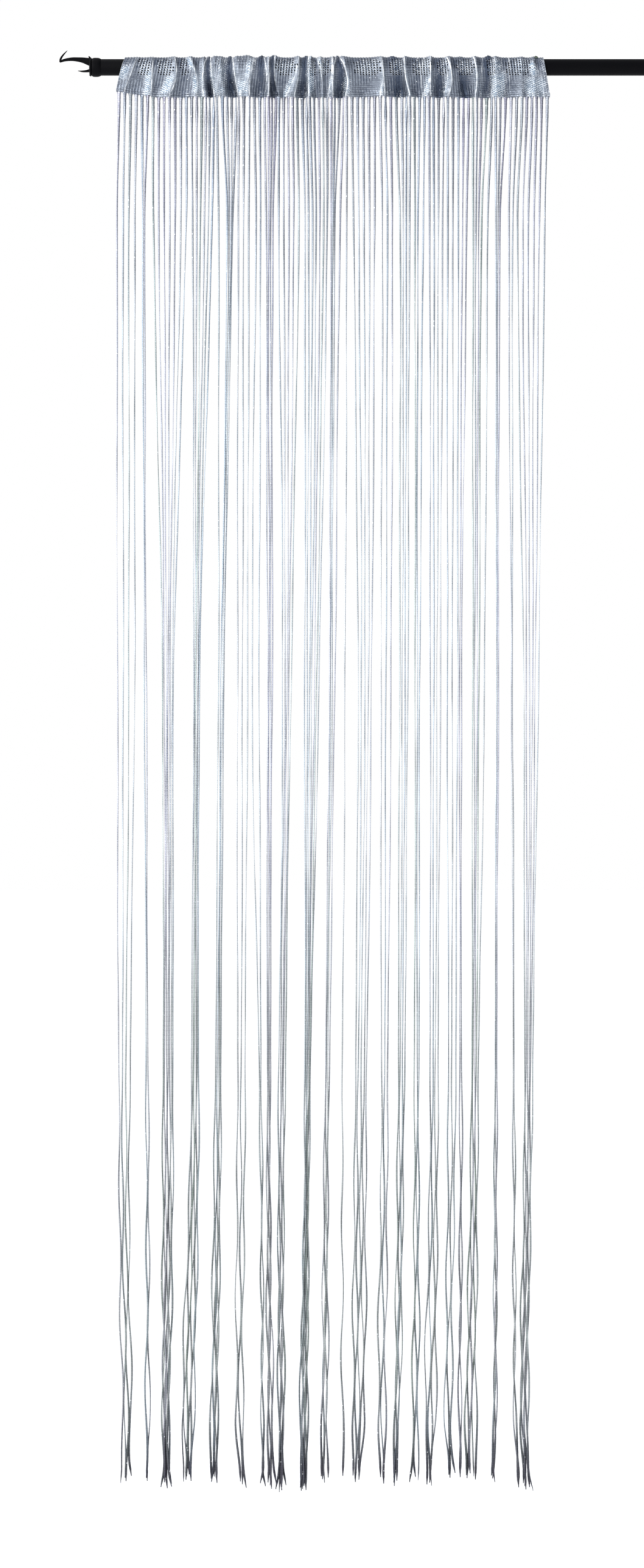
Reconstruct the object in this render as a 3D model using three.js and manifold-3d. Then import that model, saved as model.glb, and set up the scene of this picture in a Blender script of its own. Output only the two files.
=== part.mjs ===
// A lurex string curtain gathered on a black curtain rod.
// Millimetres, +Z up. The origin lies on the rod's axis at the middle of the curtain's width.
// +X runs along the rod to the right as seen from the front, and the front faces -Y.

import * as THREE from 'three';
import { mergeVertices } from 'three/addons/utils/BufferGeometryUtils.js';
import Module from 'manifold-3d';

const wasm = await Module();
wasm.setup();

// The curtain as cut, before it is gathered.
const FLAT_WIDTH = 900;
const STRING_PITCH = 10;
const STRING_COUNT = FLAT_WIDTH / STRING_PITCH;

// The cloth and the pocket that holds the rod.
const CLOTH = 1.6;
const BAND_HEIGHT = 8;
const POCKET_RADIUS = 16.3;
const CROWN_SHARE = 0.45;
const SOFTNESS = 2;

// Way round half the pocket, from the hem at 0 to the top of the rod at 1. The sewn band ends at
// the first share and the straight side at the second; the steps are where the cloth is jointed.
const BAND_SHARE = 0.11;
const SIDE_SHARE = 0.56;
const BAND_STEPS = [0, BAND_SHARE];
const POCKET_STEPS = [0.26, 0.41, SIDE_SHARE, 0.67, 0.78, 0.89];
const NORMAL_REACH = { place: 0.05, turn: 0.02 };

// The strip at the heading's lower edge, and the strings that grow out of it.
const GAP = 0.3;
const STRIP_HEIGHT = 4;
const STRIP_THICKNESS = 2;
const ROOT_DEPTH = 2.5;
const STRING_WIDTH = 2.2;
const STRING_DEPTH = 1.2;
const LAYER_STEP = 2.1;
const SETTLE_LENGTH = 450;
const WANDER = 0.6;
const WANDER_PERIOD = 640;
const UNEVEN_ENDS = 14;
const GOLDEN_SHARE = 0.618034;
const LAYERS = 3;

// The rod and its left end.
const ROD_RADIUS = 14;
const ROD_LEFT = -395.1;
const ROD_RIGHT = 560;
const ROD_SIDES = 32;
const COLLAR_RADIUS = 16;
const COLLAR_LEFT = -410;
const COLLAR_RIGHT = ROD_LEFT - GAP;
const DISC_RIGHT = COLLAR_LEFT - GAP;
const PRONG_SIDES = 8;

const MERGE_DISTANCE = 0.0001;

// Folds of the gathered cloth, in turn a crest and a valley, from the left edge to the right.
// Columns: x at the hem, x at the top edge, how far the fold bows to the right half way up, and how
// far the cloth stands out toward the front.
const FOLDS = [
  [-368.5, -352.5, -1.5, 0],
  [-357, -332, -1, 1.6],
  [-336.5, -322, -1, -1.1],
  [-314.5, -308.5, 0, 2.4],
  [-300, -291, 1.5, -2.4],
  [-282.5, -270, 7, 4],
  [-257.5, -256.5, 2, -3.5],
  [-234, -242, 4.5, 4.8],
  [-222.5, -230, 1.5, -2.2],
  [-216.5, -218.5, -2, 2.9],
  [-208.5, -211, -1, -7.7],
  [-196.5, -202, -1.5, 6.6],
  [-184, -189.5, -3, 5.1],
  [-168.5, -174, -5, -7.9],
  [-158.5, -164.5, 1, 6.6],
  [-143, -141, 0, 4.4],
  [-124, -122, 0, -5.9],
  [-109.5, -109.5, 0, 4.8],
  [-101.5, -103.5, -1.5, -7],
  [-93, -97.5, -3, 4.8],
  [-83, -77.5, 0, -2.6],
  [-72.5, -59, 4, 5.9],
  [-51.5, -46.5, 1, -7.9],
  [-39.5, -37.5, -1, 6.4],
  [-28, -30, 0, -3.5],
  [-17.5, -21.5, 1, 4.8],
  [-11.5, -13.5, 0, -2.2],
  [-3, 1, 1, 5.5],
  [10.5, 7, 3, -8.4],
  [23, 14.5, 6, 6.8],
  [53, 44.5, 2, -2.2],
  [84, 82, 2, 4.8],
  [102.5, 100.5, 0, -3.3],
  [118, 113, 0, -6.8],
  [129.5, 122, -2.5, 5.9],
  [145, 147, 0, -4.8],
  [161.5, 165.5, 2, 6.2],
  [180, 181, 0, -5.9],
  [195.5, 196.5, 5, 6.4],
  [211, 210, 0, 0.7],
  [227.5, 223.5, -5, -7.5],
  [242, 241, 3, 6.2],
  [263, 263, 0, -7],
  [277.5, 275.5, 0, 5.9],
  [298, 297, 0, -4.2],
  [321, 321, 0, 3.7],
  [332, 331, 0, -2.9],
  [342.5, 340.5, 0, 4.2],
  [356, 349, 0, -3.5],
  [369, 357, 0, 0],
];

// Lower edge of the strip, which hangs unevenly. Columns: x, depth below the rod's axis.
const LOWER_EDGE = [
  [-368.5, 41],
  [-335, 46],
  [-294, 51.5],
  [-200, 50],
  [0, 51.5],
  [80, 49.5],
  [250, 51.5],
  [369, 50],
];

// Bundles that the strings draw together into on the way down, from left to right.
// Columns: strings in the bundle, then its middle and half width at the four heights below,
// then its middle and half width at the cut ends, and how far down the ends reach.
const BUNDLES = [
  [4, -352, 15, -352, 14.5, -355, 8.5, -351, 7, -352.5, 8.5, 2400],
  [2, -322, 1.6, -319, 1.5, -315.5, 1.5, -315, 2.5, -316, 1.5, 2398],
  [7, -277.5, 28, -280.5, 9.5, -280.5, 8.5, -284, 5.5, -283.5, 10.5, 2412],
  [6, -222, 16.5, -232, 5, -236, 7, -246.5, 10, -246.5, 7, 2398],
  [1, -194.5, 0, -195, 0, -201.5, 0, -207.5, 0, -209, 0, 2403],
  [4, -175, 4.7, -188, 2.5, -194.5, 3, -200, 3.5, -200, 5, 2403],
  [3, -152, 9, -154, 8.5, -156.5, 6, -159, 5.5, -153, 6, 2409],
  [2, -127, 4, -131.5, 6, -122, 1, -120, 1, -119, 6.5, 2410],
  [4, -108, 5.7, -107.5, 4, -109.5, 2.5, -106.5, 4, -105, 6.5, 2412],
  [5, -75, 17, -78.5, 7, -88, 5, -88, 4, -88.5, 7, 2416],
  [7, -28.5, 19, -36, 12, -44.5, 3.5, -49.5, 6, -49.5, 5.5, 2415],
  [3, 0, 3.1, -4, 2.2, -12.5, 2, -15.5, 3, -17.5, 4, 2400],
  [1, 12, 0, 3, 0, -8, 0, -10, 0, -10, 0, 2400],
  [1, 23.5, 0, 20.5, 0, 15.5, 0, 16.5, 0, 18.5, 0, 2392],
  [5, 53, 18, 54, 11.5, 46.5, 9.5, 43.5, 9.5, 39.5, 6, 2400],
  [3, 92.5, 8.5, 90, 8.5, 87, 5, 83, 6, 85, 3.5, 2404],
  [4, 122, 8, 120, 7, 115, 5, 109, 3.5, 104.5, 2, 2406],
  [2, 142, 2.4, 141.5, 1.6, 140.5, 2.2, 138, 2, 136, 4, 2403],
  [1, 153.5, 0, 147.5, 0, 146, 0, 144.5, 0, 144, 0, 2403],
  [4, 175.5, 11, 174, 8.5, 171, 6.5, 165.5, 8.5, 164.5, 3, 2405],
  [3, 204, 9, 203, 8.5, 201.5, 5.5, 195.5, 5, 201, 6, 2395],
  [2, 224, 3.6, 217, 1.6, 217.5, 1.4, 216, 1.2, 217, 1.2, 2392],
  [4, 245.5, 7.3, 243, 5.4, 238.5, 3.8, 231.5, 6, 231.5, 6.5, 2397],
  [1, 263.5, 0, 257.5, 0, 245.5, 0, 243.5, 0, 244.5, 0, 2397],
  [3, 280.5, 3.6, 279.5, 1.5, 276.5, 1.5, 275.5, 1.5, 272, 4, 2399],
  [2, 302.5, 3.4, 304.5, 1, 308, 1, 309.5, 1, 316, 2, 2412],
  [6, 337, 23.3, 336.5, 12.5, 331, 6, 325, 6, 331, 8.5, 2413],
];
const BUNDLE_HEIGHTS = [-260, -1053, -1857, -2297];

// Heights of a string's joints between its root and its cut end.
const STRING_STEPS = [-130, -260, -640, -1053, -1450, -1857, -2100, -2297, -2355];

// Rim of the disc that the prongs grow from. Columns: radius, distance left of the collar.
const DISC_RIM = [
  [0, 0],
  [13, 0],
  [15.4, 1],
  [15.4, 2],
  [13.6, 3],
  [0, 3],
];

// The two prongs of the end piece, the upper one with a hook bent back from its end.
// Columns: x, height above the rod's axis, thickness.
const UPPER_PRONG = [
  [-411.8, 8.8, 14],
  [-417, 10.2, 12.2],
  [-425, 12.2, 9.6],
  [-434, 13.4, 7.6],
  [-444, 13.9, 6.3],
  [-454.5, 12.7, 5],
  [-460.5, 11, 4.2],
  [-464.4, 9.4, 3.4],
];
const HOOK = [
  [-463.6, 8.8, 3.4],
  [-463.2, 13.5, 3.6],
  [-460.8, 18.3, 3.2],
  [-457, 23, 2.4],
  [-451.8, 28.4, 0.9],
];
const LOWER_PRONG = [
  [-411.8, -5, 6.4],
  [-418, -6.3, 4.4],
  [-426, -6.8, 3],
  [-433.5, -6, 0.8],
];

const BLACK_STEEL = new THREE.MeshStandardMaterial({
  color: '#17171b',
  roughness: 0.42,
  metalness: 0.35,
});
const LUREX_KNIT = new THREE.MeshStandardMaterial({
  color: '#8d93a3',
  roughness: 0.38,
  metalness: 0.6,
});
const LUREX_YARN = new THREE.MeshStandardMaterial({
  color: '#9aa3b0',
  roughness: 0.4,
  metalness: 0.6,
});

// 0 below u = 0 and 1 above u = 1, with a smooth rise between.
function ease(u) {
  const held = Math.min(1, Math.max(0, u));
  return (1 - Math.cos(Math.PI * held)) / 2;
}

function mix(a, b, u) {
  return a + (b - a) * u;
}

// Keeps what stands out and presses the rest flat, with a soft change between.
function standing(proud) {
  return (proud + Math.hypot(proud, SOFTNESS)) / 2;
}

// Straight-line reading of a two-column table.
function readTable(rows, x) {
  let i = 0;
  while (i < rows.length - 2 && x > rows[i + 1][0]) {
    i += 1;
  }
  const [x0, y0] = rows[i];
  const [x1, y1] = rows[i + 1];
  return mix(y0, y1, (x - x0) / (x1 - x0));
}

// Smooth curve through values at falling heights. It leaves the first one plumb.
function curveThrough(heights, values, z) {
  const last = heights.length - 1;
  let i = 0;
  while (i < last - 1 && z < heights[i + 1]) {
    i += 1;
  }
  const slopeAt = (k) => {
    if (k === 0) {
      return 0;
    }
    const next = Math.min(k + 1, last);
    return (values[next] - values[k - 1]) / (heights[next] - heights[k - 1]);
  };
  const span = heights[i + 1] - heights[i];
  const u = (z - heights[i]) / span;
  const rise = u * u * (3 - 2 * u);
  const leave = u * (1 - u) * (1 - u) * span * slopeAt(i);
  const arrive = u * u * (u - 1) * span * slopeAt(i + 1);
  return mix(values[i], values[i + 1], rise) + leave + arrive;
}

// A place across the cloth, counted in folds: x at the hem and the top, the bow and how proud it is.
function foldAt(place) {
  const i = Math.min(FOLDS.length - 2, Math.max(0, Math.floor(place)));
  const u = place - i;
  return {
    hem: mix(FOLDS[i][0], FOLDS[i + 1][0], u),
    top: mix(FOLDS[i][1], FOLDS[i + 1][1], u),
    bow: mix(FOLDS[i][2], FOLDS[i + 1][2], u),
    proud: mix(FOLDS[i][3], FOLDS[i + 1][3], ease(u)),
  };
}

// Middle of the cloth's thickness around the pocket. A turn of 0 is the hem in front, 1 is the
// top of the rod and 2 is the hem behind.
function pocketPoint(place, turn) {
  const fold = foldAt(place);
  const back = turn > 1;
  const v = back ? 2 - turn : turn;
  const hemDepth = readTable(LOWER_EDGE, fold.hem) - STRIP_HEIGHT - GAP;
  const seamDepth = hemDepth - BAND_HEIGHT;
  const tilt = Math.asin(POCKET_RADIUS / seamDepth);
  const tangentY = POCKET_RADIUS * Math.cos(tilt);
  const tangentZ = -POCKET_RADIUS * Math.sin(tilt);
  const onSide = (v - BAND_SHARE) / (SIDE_SHARE - BAND_SHARE);
  const onArc = (v - SIDE_SHARE) / (1 - SIDE_SHARE);
  const angle = onArc > 0 ? mix(-tilt, Math.PI / 2, onArc) : -tilt;
  let out = CLOTH / 2;
  let z = mix(-hemDepth, -seamDepth, v / BAND_SHARE);
  if (onArc > 0) {
    out = POCKET_RADIUS * Math.cos(angle);
    z = POCKET_RADIUS * Math.sin(angle);
  } else if (onSide > 0) {
    out = mix(CLOTH / 2, tangentY, onSide);
    z = mix(-seamDepth, tangentZ, onSide);
  }
  const ownRipple = standing(back ? -fold.proud : fold.proud);
  const crownRipple = CROWN_SHARE * standing(fold.proud);
  const ripple = ease(onSide) * mix(ownRipple, crownRipple, ease(onArc));
  const sway = (1 - ease(onSide)) * fold.proud;
  const lean = (z + hemDepth) / (POCKET_RADIUS + hemDepth);
  const reach = out + ripple * Math.cos(angle);
  return new THREE.Vector3(
    mix(fold.hem, fold.top, lean) + fold.bow * 4 * lean * (1 - lean),
    (back ? reach : -reach) - sway,
    z + ripple * Math.sin(angle),
  );
}

// The cloth's outward normal, from four neighbouring points.
function pocketNormal(place, turn) {
  const last = FOLDS.length - 1;
  const across = pocketPoint(Math.min(last, place + NORMAL_REACH.place), turn)
    .sub(pocketPoint(Math.max(0, place - NORMAL_REACH.place), turn));
  const around = pocketPoint(place, Math.min(2, turn + NORMAL_REACH.turn))
    .sub(pocketPoint(place, Math.max(0, turn - NORMAL_REACH.turn)));
  return across.cross(around).normalize();
}

// Every fold row and the place half way to the next one.
function foldStations() {
  const stations = [];
  for (let k = 0; k <= 2 * (FOLDS.length - 1); k += 1) {
    stations.push(k / 2);
  }
  return stations;
}

// Closed geometry from points and triangles, turned so that its faces point out.
function closedGeometry(points, triangles) {
  let volume = 0;
  for (const [a, b, c] of triangles) {
    volume += points[a].dot(points[b].clone().cross(points[c]));
  }
  const index = triangles.flatMap(([a, b, c]) => (volume < 0 ? [a, c, b] : [a, b, c]));
  const geometry = new THREE.BufferGeometry();
  geometry.setAttribute('position', new THREE.Float32BufferAttribute(
    points.flatMap((point) => point.toArray()),
    3,
  ));
  geometry.setIndex(index);
  return geometry;
}

// Two triangles between neighbouring points of two rings.
function quad(a, b, c, d) {
  return [[a, b, c], [a, c, d]];
}

// A closed skin over rings of points, with a fan over each end ring.
function skin(rings) {
  const points = rings.flat();
  const sides = rings[0].length;
  const triangles = [];
  for (let j = 0; j < rings.length - 1; j += 1) {
    for (let k = 0; k < sides; k += 1) {
      const next = (k + 1) % sides;
      const low = j * sides;
      const high = low + sides;
      triangles.push(...quad(low + k, low + next, high + next, high + k));
    }
  }
  const lastRing = (rings.length - 1) * sides;
  for (let k = 1; k < sides - 1; k += 1) {
    triangles.push([0, k + 1, k]);
    triangles.push([lastRing, lastRing + k, lastRing + k + 1]);
  }
  return closedGeometry(points, triangles);
}

function solidFrom(geometry) {
  const bare = geometry.clone();
  bare.deleteAttribute('normal');
  bare.deleteAttribute('uv');
  const merged = mergeVertices(bare, MERGE_DISTANCE);
  return new wasm.Manifold(new wasm.Mesh({
    numProp: 3,
    vertProperties: merged.attributes.position.array,
    triVerts: new Uint32Array(merged.index.array),
  }));
}

function geometryFrom(solid) {
  const { vertProperties, triVerts } = solid.getMesh();
  const geometry = new THREE.BufferGeometry();
  geometry.setAttribute('position', new THREE.BufferAttribute(vertProperties, 3));
  geometry.setIndex(new THREE.BufferAttribute(triVerts, 1));
  return geometry;
}

// The gathered rod pocket: one cloth folded over the rod, its two edges sewn together below.
function headingGeometry() {
  const roundTrip = (half) => [...half, 1, ...half.map((turn) => 2 - turn).reverse()];
  const outerTurns = roundTrip([...BAND_STEPS, ...POCKET_STEPS]);
  const innerTurns = roundTrip(POCKET_STEPS);
  const stations = foldStations();
  const outerRings = [];
  const innerRings = [];
  for (const place of stations) {
    const shifted = (turn, side) => pocketPoint(place, turn)
      .addScaledVector(pocketNormal(place, turn), side * CLOTH / 2);
    const seam = pocketPoint(place, BAND_SHARE).lerp(pocketPoint(place, 2 - BAND_SHARE), 0.5);
    seam.z += CLOTH / 2;
    outerRings.push(outerTurns.map((turn) => shifted(turn, 1)));
    innerRings.push([seam, ...innerTurns.map((turn) => shifted(turn, -1))]);
  }
  const outerSides = outerTurns.length;
  const innerSides = innerTurns.length + 1;
  const innerStart = stations.length * outerSides;
  const triangles = [];
  for (let j = 0; j < stations.length - 1; j += 1) {
    for (let k = 0; k < outerSides; k += 1) {
      const next = (k + 1) % outerSides;
      const here = j * outerSides;
      const there = here + outerSides;
      triangles.push(...quad(here + k, there + k, there + next, here + next));
    }
    for (let k = 0; k < innerSides; k += 1) {
      const next = (k + 1) % innerSides;
      const here = innerStart + j * innerSides;
      const there = here + innerSides;
      triangles.push(...quad(here + k, here + next, there + next, there + k));
    }
  }
  for (const j of [0, stations.length - 1]) {
    const flat = (ring) => ring.map((point) => new THREE.Vector2(point.y, point.z));
    const faces = THREE.ShapeUtils.triangulateShape(flat(outerRings[j]), [flat(innerRings[j])]);
    const number = (k) => (k < outerSides
      ? j * outerSides + k
      : innerStart + j * innerSides + k - outerSides);
    const corners = [...flat(outerRings[j]), ...flat(innerRings[j])];
    for (const [a, b, c] of faces) {
      const facesRight = THREE.ShapeUtils.area([corners[a], corners[b], corners[c]]) > 0;
      triangles.push(facesRight === (j > 0)
        ? [number(a), number(b), number(c)]
        : [number(a), number(c), number(b)]);
    }
  }
  return closedGeometry([...outerRings.flat(), ...innerRings.flat()], triangles);
}

// Line of the hem seen from above, through the fold stations.
function hemLine() {
  return foldStations().map((place) => {
    const fold = foldAt(place);
    return new THREE.Vector2(fold.hem, -fold.proud);
  });
}

function stripGeometry(line) {
  const rings = line.map((point, j) => {
    const before = line[Math.max(0, j - 1)];
    const after = line[Math.min(line.length - 1, j + 1)];
    const along = after.clone().sub(before).normalize();
    const across = new THREE.Vector2(-along.y, along.x).multiplyScalar(STRIP_THICKNESS / 2);
    const bottom = -readTable(LOWER_EDGE, point.x);
    const top = bottom + STRIP_HEIGHT;
    return [
      new THREE.Vector3(point.x - across.x, point.y - across.y, bottom),
      new THREE.Vector3(point.x + across.x, point.y + across.y, bottom),
      new THREE.Vector3(point.x + across.x, point.y + across.y, top),
      new THREE.Vector3(point.x - across.x, point.y - across.y, top),
    ];
  });
  return skin(rings);
}

// Roots of the strings, evenly spaced along the hem's own length.
function stringRoots(line) {
  const lengths = [0];
  for (let j = 1; j < line.length; j += 1) {
    lengths.push(lengths[j - 1] + line[j].distanceTo(line[j - 1]));
  }
  const total = lengths[lengths.length - 1];
  const roots = [];
  let j = 0;
  for (let i = 0; i < STRING_COUNT; i += 1) {
    const reach = total * (i + 0.5) / STRING_COUNT;
    while (reach > lengths[j + 1]) {
      j += 1;
    }
    const u = (reach - lengths[j]) / (lengths[j + 1] - lengths[j]);
    roots.push(line[j].clone().lerp(line[j + 1], u));
  }
  return roots;
}

// One string: where it hangs at every height, from its root down to its cut end.
function stringPath(number, root, bundle, rank) {
  const [count, ...spread] = bundle;
  const reach = spread.pop();
  const side = count > 1 ? 2 * rank / (count - 1) - 1 : 0;
  const chance = (number * GOLDEN_SHARE) % 1;
  const rootZ = -readTable(LOWER_EDGE, root.x) + ROOT_DEPTH;
  const endZ = -reach + UNEVEN_ENDS * (chance - 0.5);
  const layer = LAYER_STEP * ((rank + 1) % LAYERS - 1);
  const heights = [rootZ, ...BUNDLE_HEIGHTS, endZ];
  const places = [root.x];
  for (let k = 0; k < spread.length; k += 2) {
    places.push(spread[k] + side * spread[k + 1]);
  }
  return [rootZ, ...STRING_STEPS, endZ].map((z) => {
    const free = ease((rootZ - z) / SETTLE_LENGTH);
    const wander = WANDER * Math.sin(2 * Math.PI * (z / WANDER_PERIOD + chance));
    return new THREE.Vector3(
      curveThrough(heights, places, z) + free * wander,
      mix(root.y, layer, free),
      z,
    );
  });
}

// A three-sided string, its flat side to the front.
function stringGeometry(path) {
  const half = STRING_WIDTH / 2;
  const deep = STRING_DEPTH / 2;
  return skin(path.map((point) => [
    new THREE.Vector3(point.x - half, point.y - deep, point.z),
    new THREE.Vector3(point.x + half, point.y - deep, point.z),
    new THREE.Vector3(point.x, point.y + deep, point.z),
  ]));
}

function stringsGeometry() {
  const line = hemLine();
  const roots = stringRoots(line);
  let joined = solidFrom(stripGeometry(line));
  let number = 0;
  for (const bundle of BUNDLES) {
    for (let rank = 0; rank < bundle[0]; rank += 1) {
      const path = stringPath(number, roots[number], bundle, rank);
      joined = joined.add(solidFrom(stringGeometry(path)));
      number += 1;
    }
  }
  return geometryFrom(joined);
}

// A round tapering prong along a smooth curve in the plane of the rod's axis.
function prongGeometry(rows) {
  const steps = 2 * (rows.length - 1);
  const curve = new THREE.CatmullRomCurve3(rows.map(([x, z]) => new THREE.Vector3(x, 0, z)));
  const rings = [];
  for (let j = 0; j <= steps; j += 1) {
    const u = j / steps;
    const row = u * (rows.length - 1);
    const i = Math.min(rows.length - 2, Math.floor(row));
    const radius = mix(rows[i][2], rows[i + 1][2], row - i) / 2;
    const centre = curve.getPoint(u);
    const tangent = curve.getTangent(u);
    const ring = [];
    for (let k = 0; k < PRONG_SIDES; k += 1) {
      const angle = 2 * Math.PI * (k + 0.5) / PRONG_SIDES;
      const inPlane = radius * Math.cos(angle);
      ring.push(new THREE.Vector3(
        centre.x - tangent.z * inPlane,
        radius * Math.sin(angle),
        centre.z + tangent.x * inPlane,
      ));
    }
    rings.push(ring);
  }
  return skin(rings);
}

function finialGeometry() {
  const rim = DISC_RIM.map(([radius, along]) => new THREE.Vector2(radius, along));
  const disc = new THREE.LatheGeometry(rim, ROD_SIDES);
  disc.rotateZ(Math.PI / 2);
  disc.translate(DISC_RIGHT, 0, 0);
  return geometryFrom(
    solidFrom(disc)
      .add(solidFrom(prongGeometry(UPPER_PRONG)))
      .add(solidFrom(prongGeometry(HOOK)))
      .add(solidFrom(prongGeometry(LOWER_PRONG))),
  );
}

// A round bar along the rod's axis.
function barGeometry(radius, left, right) {
  const bar = new THREE.CylinderGeometry(radius, radius, right - left, ROD_SIDES);
  bar.rotateZ(-Math.PI / 2);
  bar.translate((left + right) / 2, 0, 0);
  return bar;
}

const curtain = new THREE.Group();

function addPiece(name, geometry, material) {
  const piece = new THREE.Mesh(geometry, material);
  piece.name = name;
  curtain.add(piece);
}

addPiece('rod', barGeometry(ROD_RADIUS, ROD_LEFT, ROD_RIGHT), BLACK_STEEL);
addPiece('finial_collar', barGeometry(COLLAR_RADIUS, COLLAR_LEFT, COLLAR_RIGHT), BLACK_STEEL);
addPiece('finial', finialGeometry(), BLACK_STEEL);
addPiece('heading', headingGeometry(), LUREX_KNIT);
addPiece('strings', stringsGeometry(), LUREX_YARN);

export default curtain;
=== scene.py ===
"""A lurex string curtain gathered on a black curtain rod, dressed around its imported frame.

Sizes are in millimetres and become metres where a mesh is made. The origin lies on the rod's
axis at the middle of the curtain's width, +X runs along the rod to the right as seen from the
front, the front faces -Y, and +Z is up.
"""

import logging
import math
from collections.abc import Callable
from dataclasses import dataclass
from enum import Enum
from functools import partial

import bmesh
import bpy
import numpy as np
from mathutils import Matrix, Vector


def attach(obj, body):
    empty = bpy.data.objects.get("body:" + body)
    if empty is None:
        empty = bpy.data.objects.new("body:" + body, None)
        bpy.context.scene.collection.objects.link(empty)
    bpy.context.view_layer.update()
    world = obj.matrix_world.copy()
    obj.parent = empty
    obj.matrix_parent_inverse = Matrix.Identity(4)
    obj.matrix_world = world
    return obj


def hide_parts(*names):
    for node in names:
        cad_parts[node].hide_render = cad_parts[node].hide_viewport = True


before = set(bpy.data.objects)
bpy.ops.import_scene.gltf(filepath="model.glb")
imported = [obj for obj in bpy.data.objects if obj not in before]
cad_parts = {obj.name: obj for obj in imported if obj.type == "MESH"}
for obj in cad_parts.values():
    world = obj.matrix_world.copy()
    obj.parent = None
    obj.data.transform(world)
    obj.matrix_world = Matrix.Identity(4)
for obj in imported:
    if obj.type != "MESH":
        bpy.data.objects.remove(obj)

LOG = logging.getLogger("curtain")
MM = 0.001
BODY = "root"
GOLDEN_SHARE = 0.618034

Array = np.ndarray
Colour = tuple[float, float, float, float]
Inputs = dict[int | str, object]
Stops = tuple[tuple[float, str], ...]
Material = bpy.types.Material
Node = bpy.types.Node
Piece = bpy.types.Object
Table = tuple[tuple[float, ...], ...]
Value = Array | float

# Folds of the gathered cloth, in turn a crest and a valley, from the left edge to the right.
# Columns: x at the hem, x at the top edge, how far the fold bows to the right half way up, and
# how far the cloth stands out toward the front.
FOLDS = np.array([
    [-368.5, -352.5, -1.5, 0],
    [-357, -332, -1, 1.6],
    [-336.5, -322, -1, -1.1],
    [-314.5, -308.5, 0, 2.4],
    [-300, -291, 1.5, -2.4],
    [-282.5, -270, 7, 4],
    [-257.5, -256.5, 2, -3.5],
    [-234, -242, 4.5, 4.8],
    [-222.5, -230, 1.5, -2.2],
    [-216.5, -218.5, -2, 2.9],
    [-208.5, -211, -1, -7.7],
    [-196.5, -202, -1.5, 6.6],
    [-184, -189.5, -3, 5.1],
    [-168.5, -174, -5, -7.9],
    [-158.5, -164.5, 1, 6.6],
    [-143, -141, 0, 4.4],
    [-124, -122, 0, -5.9],
    [-109.5, -109.5, 0, 4.8],
    [-101.5, -103.5, -1.5, -7],
    [-93, -97.5, -3, 4.8],
    [-83, -77.5, 0, -2.6],
    [-72.5, -59, 4, 5.9],
    [-51.5, -46.5, 1, -7.9],
    [-39.5, -37.5, -1, 6.4],
    [-28, -30, 0, -3.5],
    [-17.5, -21.5, 1, 4.8],
    [-11.5, -13.5, 0, -2.2],
    [-3, 1, 1, 5.5],
    [10.5, 7, 3, -8.4],
    [23, 14.5, 6, 6.8],
    [53, 44.5, 2, -2.2],
    [84, 82, 2, 4.8],
    [102.5, 100.5, 0, -3.3],
    [118, 113, 0, -6.8],
    [129.5, 122, -2.5, 5.9],
    [145, 147, 0, -4.8],
    [161.5, 165.5, 2, 6.2],
    [180, 181, 0, -5.9],
    [195.5, 196.5, 5, 6.4],
    [211, 210, 0, 0.7],
    [227.5, 223.5, -5, -7.5],
    [242, 241, 3, 6.2],
    [263, 263, 0, -7],
    [277.5, 275.5, 0, 5.9],
    [298, 297, 0, -4.2],
    [321, 321, 0, 3.7],
    [332, 331, 0, -2.9],
    [342.5, 340.5, 0, 4.2],
    [356, 349, 0, -3.5],
    [369, 357, 0, 0],
])

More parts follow.
